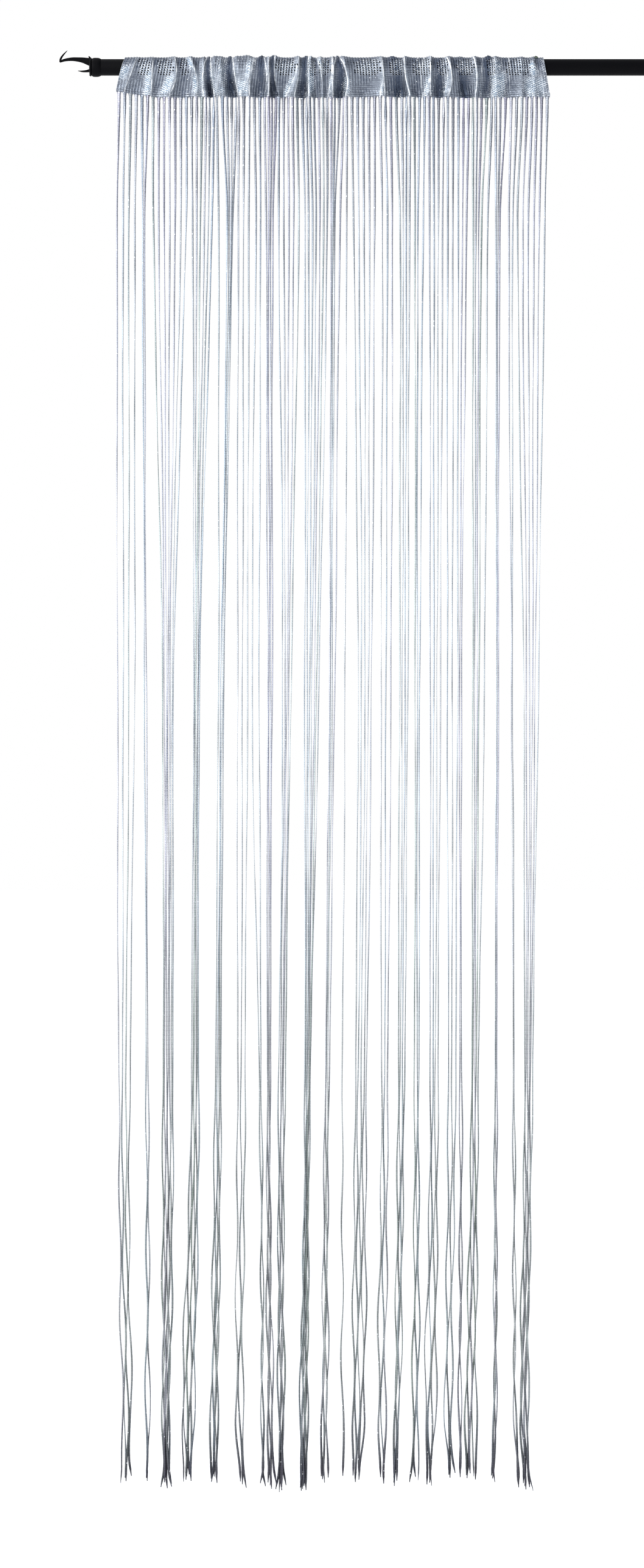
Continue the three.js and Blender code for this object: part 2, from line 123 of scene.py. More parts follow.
# Creases that run down the folds, each with a slope to either side. Columns: x at the top, half
# way down and at the hem, half width to the left and to the right, then how far the crease
# stands out at the same three heights.
CREASES = (
    (-330, -344.7, -356, 7, 3, 0.8, 1.8, 1),
    (-305.3, -307.4, -309, 11, 2.4, 0.6, 2.4, 2.8),
    (-270, -266, -277.4, 14, 2.4, 1.2, 3.2, 3.4),
    (-246.3, -231.8, -232.9, 5, 5, 1.6, 2.4, 1.2),
    (-214.2, -221.5, -220.5, 9, 1.9, 2, 3, 2.6),
    (-212, -212, -208.5, 3, 3, -2, -3, -3.4),
    (-208, -206, -201.8, 2.2, 4, 1.4, 1.6, 1.6),
    (-179.6, -192.5, -197.7, 8, 6, 1.6, 2.2, 1.2),
    (-175, -176, -165, 6, 2.4, -2, -3.6, -3),
    (-170.8, -166.6, -161.5, 1.9, 6, 1.8, 2.4, 2),
    (-132.5, -142.8, -156, 7, 3, 2, 2.2, 1),
    (-128, -140, -142, 14, 2.4, 0.4, 2.2, 3),
    (-121, -121, -124, 6, 6, -2.4, -2, -0.4),
    (-117, -112.8, -115, 2, 2, 1.6, 1.6, 0),
    (-108.7, -108.7, -108.7, 2.2, 1.9, 2, 2.6, 2),
    (-102.5, -101.4, -95.2, 2.6, 4.5, -2.6, -3.6, -3.6),
    (-98.3, -99, -94, 2.2, 3, 1.2, 1.2, 0),
    (-58, -59, -65.2, 9, 2.2, 2, 2.8, 3),
    (-60, -65, -79, 3, 3, 0, 1.4, 2),
    (-48.6, -48.6, -51.8, 4, 3, -2, -2.2, -1),
    (-41.4, -41.4, -41.4, 3, 7, 1.8, 2.2, 2),
    (-28, -19.5, -19.5, 2.4, 2.4, 1.8, 1, 0),
    (-16, -19.5, -19.5, 2.4, 2.4, 1.6, 0.8, 0),
    (-1, -3.1, -8.3, 5, 2, 1.4, 1.8, 1.6),
    (5.2, 0, 0, 2.2, 1.9, 1.6, 2.2, 2.2),
    (7.2, 16.5, 13.5, 4, 3.5, -2.6, -3.6, -3.2),
    (10.4, 23.8, 21.7, 2.2, 4, 2, 3, 2.4),
    (81.8, 85.9, 88, 5, 2.2, 2, 2.6, 2.4),
    (86, 85, 80.5, 2.2, 2.2, 0, 1, 1.8),
    (106.6, 111.8, 115, 12, 4, -1, -2.6, -3.8),
    (121, 123.2, 130.4, 2.2, 4, 2, 2.8, 2.6),
    (143, 150, 150, 2.4, 2.4, 1.4, 0.8, 0),
    (155, 150, 150, 2.4, 2.4, 1.4, 0.8, 0),
    (165.6, 165.6, 165.6, 5, 1.9, 2, 2.8, 2.2),
    (166, 164.5, 153.2, 3, 6, 0, 1.4, 2),
    (181, 181, 181, 7, 5, -1.4, -2.6, -2.6),
    (191.5, 201.8, 197.2, 5, 2.2, 2, 2.8, 2.2),
    (195, 194.6, 189.4, 3, 3, 0, 1.4, 2),
    (200.8, 215.3, 224.6, 3, 7, -1.6, -2.6, -2.2),
    (238, 244.3, 242.2, 3, 2.6, 2, 2.8, 2),
    (262, 264, 265, 6, 4, -3, -2.6, -0.8),
    (254, 252, 252, 2.4, 2.4, 1.2, 0.4, 0),
    (274, 273.2, 269, 4, 9, 1.2, 2, 2.2),
    (298, 300, 300, 2.2, 2.2, 1.2, 0.8, 0),
    (330, 352, 358, 26, 4, 0.4, 0.8, 1.4),
)

# Places where the knit is stretched on the rod and its gaps stand open. Columns: x, half width.
OPEN_KNIT = (
    (-321, 8.5),
    (-284, 12.5),
    (-252, 4.5),
    (-78.7, 17),
    (-36.7, 6),
    (-14.5, 8.5),
    (59.5, 23),
    (109.7, 12),
    (152, 16),
    (187.4, 8.5),
    (225, 14.5),
    (269, 6),
    (314.6, 20),
)

# Patches of the folds that face the light and glitter. Columns: x, height, half width, half
# height, how far the patch leans to the right at its top, how bright it is.
SHEEN = (
    (-356, -11, 9, 13, 6, 0.8),
    (-314, -25, 6.5, 22, 1, 1),
    (-281.5, -30, 8, 17, 7, 0.9),
    (-243, 5, 5, 12, -4, 0.8),
    (-234, -29, 4.5, 17, -1, 1),
    (-223.5, -22, 5, 23, 2, 0.6),
    (-203.4, -26, 4, 22, -3, 0.9),
    (-189.4, -12, 9, 27, 3, 0.5),
    (-191.5, -40, 9, 7, 0, 0.7),
    (-154, -34, 12, 14, 0, 0.9),
    (-140.8, -2, 8, 16, 4, 0.7),
    (-75.5, -33, 5, 20, 9, 0.8),
    (-37.8, -23, 6.5, 22, 0, 1),
    (-40, 9, 4, 9, 0, 0.5),
    (-22, 5, 4, 12, -2, 0.7),
    (-5, -30, 3.5, 13, 2, 0.8),
    (23, -33, 6.5, 19, 1, 0.8),
    (84, -34, 4, 15, 1, 0.6),
    (159.4, -32, 5.5, 18, 4, 0.8),
    (192.5, -32, 5, 20, 4, 0.7),
    (280.5, -31, 13, 24, 1, 1),
    (280.5, 1, 6, 9, 0, 0.8),
    (343.6, -33, 21, 18, 0, 0.8),
    (339.5, -5, 7, 12, -3, 0.95),
    (358, 0, 6, 15, -3, 0.35),
)

# Puckers that stand up over the top of the rod. Columns: x, half width, height.
PUCKERS = (
    (-211, 2.2, 2.2),
    (-175, 2.8, 3),
    (-146, 7, 2.2),
    (-121, 4.5, 4),
    (-101.4, 4.5, 4.4),
    (-45.5, 4, 3.4),
    (7.2, 3.5, 3.6),
    (101, 6, 2.8),
    (216, 5, 1.8),
    (264, 5, 4),
)

# Lower edge of the strip that the strings grow from. Columns: x, depth below the rod's axis.
LOWER_EDGE = np.array([
    [-368.5, 41],
    [-335, 46],
    [-294, 51.5],
    [-200, 50],
    [0, 51.5],
    [80, 49.5],
    [250, 51.5],
    [369, 50],
])

# Bundles that the strings draw together into on the way down, from left to right. Columns:
# strings in the bundle, then its middle and half width at the four heights below, then its
# middle and half width at the cut ends, and how far down the ends reach.
BUNDLES = (
    (4, -352, 15, -352, 14.5, -355, 8.5, -351, 7, -352.5, 8.5, 2400),
    (2, -322, 1.6, -319, 1.5, -315.5, 1.5, -315, 2.5, -316, 1.5, 2398),
    (7, -277.5, 28, -280.5, 9.5, -280.5, 8.5, -284, 5.5, -283.5, 10.5, 2412),
    (6, -222, 16.5, -232, 5, -236, 7, -246.5, 10, -246.5, 7, 2398),
    (1, -194.5, 0, -195, 0, -201.5, 0, -207.5, 0, -209, 0, 2403),
    (4, -175, 4.7, -188, 2.5, -194.5, 3, -200, 3.5, -200, 5, 2403),
    (3, -152, 9, -154, 8.5, -156.5, 6, -159, 5.5, -153, 6, 2409),
    (2, -127, 4, -131.5, 6, -122, 1, -120, 1, -119, 6.5, 2410),
    (4, -108, 5.7, -107.5, 4, -109.5, 2.5, -106.5, 4, -105, 6.5, 2412),
    (5, -75, 17, -78.5, 7, -88, 5, -88, 4, -88.5, 7, 2416),
    (7, -28.5, 19, -36, 12, -44.5, 3.5, -49.5, 6, -49.5, 5.5, 2415),
    (3, 0, 3.1, -4, 2.2, -12.5, 2, -15.5, 3, -17.5, 4, 2400),
    (1, 12, 0, 3, 0, -8, 0, -10, 0, -10, 0, 2400),
    (1, 23.5, 0, 20.5, 0, 15.5, 0, 16.5, 0, 18.5, 0, 2392),
    (5, 53, 18, 54, 11.5, 46.5, 9.5, 43.5, 9.5, 39.5, 6, 2400),
    (3, 92.5, 8.5, 90, 8.5, 87, 5, 83, 6, 85, 3.5, 2404),
    (4, 122, 8, 120, 7, 115, 5, 109, 3.5, 104.5, 2, 2406),
    (2, 142, 2.4, 141.5, 1.6, 140.5, 2.2, 138, 2, 136, 4, 2403),
    (1, 153.5, 0, 147.5, 0, 146, 0, 144.5, 0, 144, 0, 2403),
    (4, 175.5, 11, 174, 8.5, 171, 6.5, 165.5, 8.5, 164.5, 3, 2405),
    (3, 204, 9, 203, 8.5, 201.5, 5.5, 195.5, 5, 201, 6, 2395),
    (2, 224, 3.6, 217, 1.6, 217.5, 1.4, 216, 1.2, 217, 1.2, 2392),
    (4, 245.5, 7.3, 243, 5.4, 238.5, 3.8, 231.5, 6, 231.5, 6.5, 2397),
    (1, 263.5, 0, 257.5, 0, 245.5, 0, 243.5, 0, 244.5, 0, 2397),
    (3, 280.5, 3.6, 279.5, 1.5, 276.5, 1.5, 275.5, 1.5, 272, 4, 2399),
    (2, 302.5, 3.4, 304.5, 1, 308, 1, 309.5, 1, 316, 2, 2412),
    (6, 337, 23.3, 336.5, 12.5, 331, 6, 325, 6, 331, 8.5, 2413),
)
BUNDLE_HEIGHTS = (-260, -1053, -1857, -2297)

# The two prongs of the end piece, the upper one with a hook bent back from its end.
# Columns: x, height above the rod's axis, thickness.
UPPER_PRONG = (
    (-411.8, 8.8, 14),
    (-417, 10.2, 12.2),
    (-425, 12.2, 9.6),
    (-434, 13.4, 7.6),
    (-444, 13.9, 6.3),
    (-454.5, 12.7, 5),
    (-460.5, 11, 4.2),
    (-464.4, 9.4, 3.4),
)
HOOK = (
    (-463.6, 8.8, 3.4),
    (-463.2, 13.5, 3.6),
    (-460.8, 18.3, 3.2),
    (-457, 23, 2.4),
    (-451.8, 28.4, 0.9),
)
LOWER_PRONG = (
    (-411.8, -5, 6.4),
    (-418, -6.3, 4.4),
    (-426, -6.8, 3),
    (-433.5, -6, 0.8),
)

# Other parts of the end piece, each drawn out as a round bar. Columns: x, height above the
# rod's axis, thickness.
COLLAR = (
    (-394.4, 0, 28.3),
    (-396.2, 0, 30.4),
    (-399.5, 0, 32.2),
    (-405.5, 0, 32.4),
    (-408.6, 0, 31),
    (-410, 0, 28.4),
    (-410.2, 0, 24),
)
DISC = (
    (-410.1, 0, 24),
    (-410.6, 0, 28.6),
    (-411.8, 0, 30.8),
    (-413, 0, 29.6),
    (-413.9, 0, 25),
    (-414.4, 0, 16),
)
UPPER_LEAF = (
    (-411.8, 11.5, 6.8),
    (-412.8, 14.5, 5.2),
    (-414.2, 17.2, 2.8),
    (-415.4, 19.4, 0.7),
)
LOWER_LEAF = (
    (-411.6, -10.5, 5.6),
    (-412.6, -12.6, 3.8),
    (-414, -14.2, 0.9),
)


class Slot(Enum):
    """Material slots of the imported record."""

    ROD = "rod"
    FINIAL = "finial"
    HEADING = "heading"
    STRINGS = "strings"


def linear(colour: str) -> Colour:
    """Turns an sRGB hex colour into a linear one.

    Args:
        colour: six hex digits after a hash sign.

    Returns:
        Red, green, blue and an alpha of 1.
    """
    channels = []
    for start in (1, 3, 5):
        value = int(colour[start:start + 2], 16) / 255
        channels.append(value / 12.92 if value <= 0.04045 else ((value + 0.055) / 1.055) ** 2.4)
    return (*channels, 1.0)


def mix(a: Value, b: Value, u: Value) -> Value:
    """Straight blend from a at 0 to b at 1."""
    return a + (b - a) * u


def ease(u: Value) -> Value:
    """0 below u = 0 and 1 above u = 1, with a smooth rise between."""
    return (1 - np.cos(np.pi * np.clip(u, 0, 1))) / 2


def chance_of(number: int) -> float:
    """An evenly spread number from 0 to 1 for a string."""
    return (number * GOLDEN_SHARE) % 1


def edge_depth(x: Value) -> Value:
    """How far the strip's lower edge lies below the rod's axis at x."""
    return np.interp(x, LOWER_EDGE[:, 0], LOWER_EDGE[:, 1])


def bowed(hem: Array, top: Array, bow: Array, lean: Value) -> Array:
    """x of a fold that runs from the hem at lean = 0 to the top at 1 and bows half way."""
    return mix(hem, top, lean) + bow * 4 * lean * (1 - lean)


def way_along(path: Array) -> Array:
    """How far each point of a path lies from its first, along the path."""
    return np.concatenate([[0], np.cumsum(np.linalg.norm(np.diff(path, axis=0), axis=1))])


def smooth_rows(rows: Table, steps: int) -> Array:
    """Draws a smooth curve through the rows of a table.

    Args:
        rows: the table.
        steps: steps from each row to the next.

    Returns:
        The finer table.
    """
    table = np.array(rows, float)
    table = np.vstack([2 * table[0] - table[1], table, 2 * table[-1] - table[-2]])
    u = (np.arange(steps) / steps)[:, None]
    finer = []
    for k in range(len(rows) - 1):
        a, b, c, d = table[k:k + 4]
        bend = 2 * a - 5 * b + 4 * c - d
        twist = 3 * b - a - 3 * c + d
        finer.append((2 * b + (c - a) * u + bend * u ** 2 + twist * u ** 3) / 2)
    return np.vstack([*finer, table[-2]])


def connect(node: Node, inputs: Inputs) -> None:
    """Sets a node's inputs, or links other nodes to them.

    Args:
        node: the node.
        inputs: by input name or number, a value, a socket, or a node for its first output.
    """
    for name, value in inputs.items():
        if isinstance(value, Node):
            value = next(socket for socket in value.outputs if socket.enabled)
        if isinstance(value, bpy.types.NodeSocket):
            node.id_data.links.new(value, node.inputs[name])
        else:
            node.inputs[name].default_value = value


def add_node(tree: bpy.types.NodeTree, kind: str, inputs: Inputs | None = None,
             **settings: str | bool) -> Node:
    """Adds one shader node with its settings and links.

    Args:
        tree: the node tree.
        kind: the node's type name, without what all of them start with.
        inputs: what to connect to it.
        settings: its properties.

    Returns:
        The new node.
    """
    node = tree.nodes.new(f"ShaderNode{kind}")
    for name, value in settings.items():
        setattr(node, name, value)
    connect(node, inputs or {})
    return node


def fill_ramp(node: Node, stops: Stops) -> None:
    """Sets a colour ramp's stops.

    Args:
        node: the colour ramp node.
        stops: place from 0 to 1 and hex colour of each stop.
    """
    elements = node.color_ramp.elements
    while len(elements) < len(stops):
        elements.new(1.0)
    for element, (place, colour) in zip(elements, stops):
        element.position = place
        element.color = linear(colour)


def new_material(name: str) -> tuple[Material, Node, Callable[..., Node]]:
    """Makes a material with one Principled shader.

    Args:
        name: the material's name.

    Returns:
        The material, its shader node and what adds a node to it.
    """
    material = bpy.data.materials.new(name)
    material.use_nodes = True
    tree = material.node_tree
    return material, tree.nodes["Principled BSDF"], partial(add_node, tree)


def mesh_piece(name: str, points: Array, faces: list[list[int]], material: Material, uv: Array,
               marks: dict[str, Array] | None = None) -> Piece:
    """Makes a smooth-shaded piece from points in millimetres.

    Args:
        name: the piece's name.
        points: one row of x, y, z for each vertex.
        faces: vertex numbers of each face.
        material: the piece's material.
        uv: one row of thread coordinates for each vertex, kept as the map "thread".
        marks: numbers for each vertex, kept as attributes by name.

    Returns:
        The new object, at the origin.
    """
    mesh = bpy.data.meshes.new(name)
    mesh.from_pydata((points * MM).tolist(), [], faces)
    mesh.polygons.foreach_set("use_smooth", np.ones(len(mesh.polygons), bool))
    corners = np.zeros(len(mesh.loops), np.int32)
    mesh.loops.foreach_get("vertex_index", corners)
    layer = mesh.uv_layers.new(name="thread")
    layer.uv.foreach_set("vector", uv[corners].astype(np.float32).ravel())
    for mark, values in (marks or {}).items():
        attribute = mesh.attributes.new(mark, "FLOAT", "POINT")
        attribute.data.foreach_set("value", values.astype(np.float32).ravel())
    mesh.materials.append(material)
    mesh.update()
    piece = bpy.data.objects.new(name, mesh)
    bpy.context.scene.collection.objects.link(piece)
    return piece


def pick(piece: Piece) -> None:
    """Makes a piece the only selected one.

    Args:
        piece: the piece.
    """
    bpy.ops.object.select_all(action="DESELECT")
    bpy.context.view_layer.objects.active = piece
    piece.select_set(True)


def start_shape(primitive: Callable[..., set[str]], **options: object) -> Piece:
    """Adds a primitive as the start of a piece and opens it for editing.

    Args:
        primitive: the operator that adds it.
        options: its size and place.

    Returns:
        The new object, with its place in its mesh.
    """
    bpy.ops.object.select_all(action="DESELECT")
    primitive(**options)
    bpy.ops.object.transform_apply(location=True, rotation=True, scale=True)
    bpy.ops.object.mode_set(mode="EDIT")
    return bpy.context.active_object


def thicken(piece: Piece, thickness: float) -> None:
    """Gives an open sheet its thickness, toward its inner side, and applies it.

    Args:
        piece: the sheet.
        thickness: its thickness in millimetres.
    """
    solid = piece.modifiers.new("thickness", "SOLIDIFY")
    solid.thickness = thickness * MM
    solid.offset = -1
    pick(piece)
    bpy.ops.object.modifier_apply(modifier=solid.name)
    piece.select_set(False)


def select_faces(piece: Piece, wanted: Callable[[Vector, Vector], bool]) -> None:
    """Selects faces of the piece that is being edited.

    Args:
        piece: the piece.
        wanted: tells from a face's centre, in millimetres, and its normal.
    """
    bpy.ops.mesh.select_mode(type="FACE")
    bpy.ops.mesh.select_all(action="DESELECT")
    shape = bmesh.from_edit_mesh(piece.data)
    for face in shape.faces:
        face.select_set(wanted(face.calc_center_median() / MM, face.normal))
    bmesh.update_edit_mesh(piece.data)


def draw_out(rows: Array, sides: int) -> Piece:
    """Draws a round bar out along a path in the plane of the rod, as a modeller does by hand.

    Args:
        rows: x, height and thickness of each station.
        sides: sides of the bar.

    Returns:
        The bar, closed at both ends.
    """
    centres = [Vector((x, 0, z)) * MM for x, z, _ in rows]
    along = np.gradient(rows[:, :2], axis=0)
    angles = np.unwrap(np.arctan2(along[:, 0], along[:, 1]))
    piece = start_shape(bpy.ops.mesh.primitive_circle_add, vertices=sides, fill_type="NGON",
                        radius=rows[0][2] / 2 * MM, location=centres[0],
                        rotation=(0, angles[0], 0))
    bpy.ops.mesh.select_mode(type="FACE")
    bpy.ops.mesh.select_all(action="SELECT")
    for k in range(1, len(rows)):
        share = rows[k][2] / rows[k - 1][2]
        bpy.ops.mesh.extrude_region_move(
            TRANSFORM_OT_translate={"value": centres[k] - centres[k - 1]})
        bpy.ops.transform.resize(value=(share, share, share), center_override=centres[k])
        # With no window the operator turns the other way.
        bpy.ops.transform.rotate(value=angles[k - 1] - angles[k], orient_axis="Y",
                                 center_override=centres[k])
    bpy.ops.mesh.select_all(action="SELECT")
    bpy.ops.mesh.normals_make_consistent(inside=False)
    bpy.ops.object.mode_set(mode="OBJECT")
    return piece


def finish_hardware(name: str, parts: list[Piece], material: Material, sharp: float) -> Piece:
    """Joins parts into one smooth-shaded piece.

    Args:
        name: the piece's name.
        parts: the parts, each in place.
        material: their material.
        sharp: angle in degrees from which an edge stays sharp.

    Returns:
        The piece, at the origin.
    """
    pick(parts[0])
    for part in parts[1:]:
        part.select_set(True)
    if len(parts) > 1:
        bpy.ops.object.join()
    piece = parts[0]
    piece.name = piece.data.name = name
    bpy.ops.object.transform_apply(location=True, rotation=True, scale=True)
    bpy.ops.object.shade_smooth_by_angle(angle=math.radians(sharp))
    piece.data.materials.clear()
    piece.data.materials.append(material)
    piece.select_set(False)
    return piece


def settle(piece: Piece, slot: Slot, *nodes: str) -> Piece:
    """Ties a finished piece to the frame.

    Args:
        piece: the finished object.
        slot: the record's material slot for it, not used.
        nodes: CAD nodes that it stands for.

    Returns:
        The same object.
    """
    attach(piece, BODY)
    if nodes:
        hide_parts(*nodes)
    LOG.info("%s: %d faces", piece.name, len(piece.data.polygons))
    return piece


@dataclass(frozen=True)
class LurexKnit:
    """Warp knit of silver lurex: metallised film round a thread.

    To the eye it is a cool grey mesh, with painted shade that darkens its folds to slate, painted
    near-white highlights along the sharp ridges where the cloth turns and small painted glints
    on single loops.
    """

    # The ramp's dark end is painted shade deep in the folds and its light end painted light on the
    # crests.
    tones: Stops = (
        (0.0, "#323a4a"),
        (0.18, "#485264"),
        (0.38, "#555d6c"),
        (0.54, "#727883"),
        (1.0, "#a9b2be"),
    )
    level: float = -0.18
    loop_share: float = 0.16
    cloud_share: float = 0.2
    cloud_scale: float = 0.17
    patch_scale: float = 0.11
    # Painted reflection: a blue tint laid on where the sheen mark glitters.
    cast: str = "#94abc0"
    sheen_tint_least: float = 0.35
    sheen_tint_share: float = 0.65
    # Near-white colour of the painted highlights: ridge lines, glittering dashes, glints, hem
    # loops and selvedges.
    edge: str = "#fafdff"
    line_middle: float = 0.35
    line_edge: float = 0.95
    line_share: float = 1.6
    line_least: float = 0.3
    soft_share: float = 0.2
    metallic: float = 0.75
    film_metallic: float = 0.3
    smooth: float = 0.28
    rough: float = 0.55
    glint_least: float = 0.004
    glint_on_sheen: float = 0.06
    rib_share: float = 0.4
    course_share: float = 0.2
    sheen_lift: float = 0.08
    sheen_share: float = 1.0
    slant: float = 0.8
    flakes: tuple[float, float, float] = (4.0, 3.0, 1.0)
    stretch_scale: float = 0.5
    crumple_scale: float = 2.2
    crumple: float = 1.6

    def material(self) -> Material:
        """Builds the material from the knit's own thread map, depth and edges.

        Returns:
            The material.
        """
        material, shader, add = new_material("warp-knitted silver lurex")
        thread = add("UVMap", uv_map="thread")
        # The depth mark carries painted shade in the folds and painted light on the crests, the
        # edge and ridge marks place the painted ridge highlights and the sheen mark places painted
        # glitter.
        depth, edge, ridge, sheen = (add("Attribute", attribute_name=mark).outputs["Fac"]
                                     for mark in ("depth", "edge", "ridge", "sheen"))
        # One random number for each loop, so that some are lighter, some duller.
        loop = add("VectorMath", {0: thread}, operation="FLOOR")
        chance = add("TexWhiteNoise", {"Vector": loop}, noise_dimensions="2D")
        # Cloudy patches about six loops wide.
        cloud = add("TexNoise", {"Vector": thread, "Scale": self.cloud_scale, "Detail": 2.0})
        uneven = add("Math", {0: chance, 1: self.loop_share, 2: self.level},
                     operation="MULTIPLY_ADD")
        clouded = add("Math", {0: cloud, 1: self.cloud_share, 2: uneven},
                      operation="MULTIPLY_ADD")
        # Painted highlights run as thin lines down the wales in some patches and along the courses
        # in others.
        across = add("SeparateXYZ", {0: thread})
        rib = add("Math", {0: across.outputs["X"], 1: 0.5}, operation="PINGPONG")
        thin = add("MapRange", {"Value": rib, "From Min": 0.2, "From Max": 0.46,
                                "To Max": self.rib_share}, interpolation_type="SMOOTHSTEP")
        beat = add("Math", {0: across.outputs["Y"], 1: 0.5}, operation="PINGPONG")
        low = add("MapRange", {"Value": beat, "From Min": 0.1, "From Max": 0.4,
                               "To Max": self.course_share}, interpolation_type="SMOOTHSTEP")
        patch = add("TexNoise", {"Vector": thread, "Scale": self.patch_scale, "Detail": 0.0})
        way = add("MapRange", {"Value": patch, "From Min": 0.48, "From Max": 0.6})
        lines = add("Mix", {"Factor": way, 2: thin, 3: low})
        # Deep in a fold the painted shade hides the knit's lines.
        shown = add("MapRange", {"Value": depth, "From Min": 0.12, "From Max": 0.42,
                                 "To Min": 0.15})
        settled = add("Math", {0: lines, 1: shown, 2: clouded}, operation="MULTIPLY_ADD")
        lifted = add("Math", {0: sheen, 1: self.sheen_lift, 2: settled},
                     operation="MULTIPLY_ADD")
        level = add("Math", {0: depth, 1: lifted}, operation="ADD", use_clamp=True)
        tone = add("ValToRGB", {"Fac": level})
        fill_ramp(tone, self.tones)
        # The glittering patches get the painted blue reflection tint.
        sheen_tint = add("MapRange", {"Value": sheen, "From Min": self.sheen_tint_least,
                                "To Max": self.sheen_tint_share})
        body = add("Mix", {"Factor": sheen_tint, 6: tone, 7: linear(self.cast)}, data_type="RGBA")
        # Where the cloth faces the light its loops shine as slanted dashes, turned the other
        # way on every other wale.
        zigzag = add("Math", {0: across.outputs["X"], 1: 1.0}, operation="PINGPONG")
        slant = add("Math", {0: zigzag, 1: self.slant, 2: across.outputs["Y"]},
                    operation="MULTIPLY_ADD")
        dash = add("Math", {0: slant, 1: 0.5}, operation="PINGPONG")
        bright = add("MapRange", {"Value": dash, "From Min": 0.2, "From Max": 0.36,
                                  "To Max": self.sheen_share}, interpolation_type="SMOOTHSTEP")
        whole = add("MapRange", {"Value": chance, "From Min": 0.15, "From Max": 0.5,
                                 "To Min": 0.15})
        broken = add("Math", {0: bright, 1: whole}, operation="MULTIPLY")
        shining = add("Math", {0: broken, 1: sheen}, operation="MULTIPLY")
        # Glints on parts of loops, a quarter of a loop wide and a third of a loop high.
        film = add("VectorMath", {0: thread, 1: self.flakes}, operation="MULTIPLY")
        flake = add("VectorMath", {0: film}, operation="FLOOR")
        luck = add("TexWhiteNoise", {"Vector": flake}, noise_dimensions="2D")
        rare = add("Math", {0: sheen, 1: -self.glint_on_sheen,
                            2: 1 - self.glint_least}, operation="MULTIPLY_ADD")
        lucky = add("Math", {0: luck, 1: rare}, operation="GREATER_THAN")
        glint = add("Math", {0: lucky, 1: bright}, operation="MULTIPLY")
        # A sharp ridge gets a thin painted white highlight along its top, with a soft painted glow
        # beside it.
        side = add("Math", {0: ridge}, operation="ABSOLUTE")
        ridge_highlight = add("MapRange", {"Value": side, "From Min": self.line_middle,
                                       "From Max": self.line_edge, "To Min": self.line_share,
                                       "To Max": self.soft_share}, interpolation_type="SMOOTHSTEP")
        # Along the ridge the film shines in short uneven stretches.
        stretch = add("TexNoise", {"Vector": thread, "Scale": self.stretch_scale, "Detail": 3.0})
        lit = add("MapRange", {"Value": stretch, "From Min": 0.4, "From Max": 0.56,
                               "To Min": self.line_least})
        sharp = add("Math", {0: lit, 1: ridge_highlight}, operation="MULTIPLY")
        line = add("Math", {0: edge, 1: sharp}, operation="MULTIPLY")
        brighter = add("Math", {0: line, 1: shining}, operation="MAXIMUM")
        light = add("Math", {0: brighter, 1: glint}, operation="MAXIMUM", use_clamp=True)
        film_light = add("MapRange", {"Value": light, "To Min": self.metallic,
                                      "To Max": self.film_metallic})
        colour = add("Mix", {"Factor": light, 6: body, 7: linear(self.edge)}, data_type="RGBA")
        dull = add("MapRange", {"Value": luck, "To Min": self.rough, "To Max": self.smooth})
        # The film's crumples, about two millimetres across.
        crumple = add("TexNoise", {"Vector": thread, "Scale": self.crumple_scale, "Detail": 2.0})
        bump = add("Bump", {"Height": crumple, "Strength": 0.8, "Distance": self.crumple * MM})
        connect(shader, {"Base Color": colour, "Roughness": dull, "Normal": bump,
                         "Metallic": film_light})
        return material


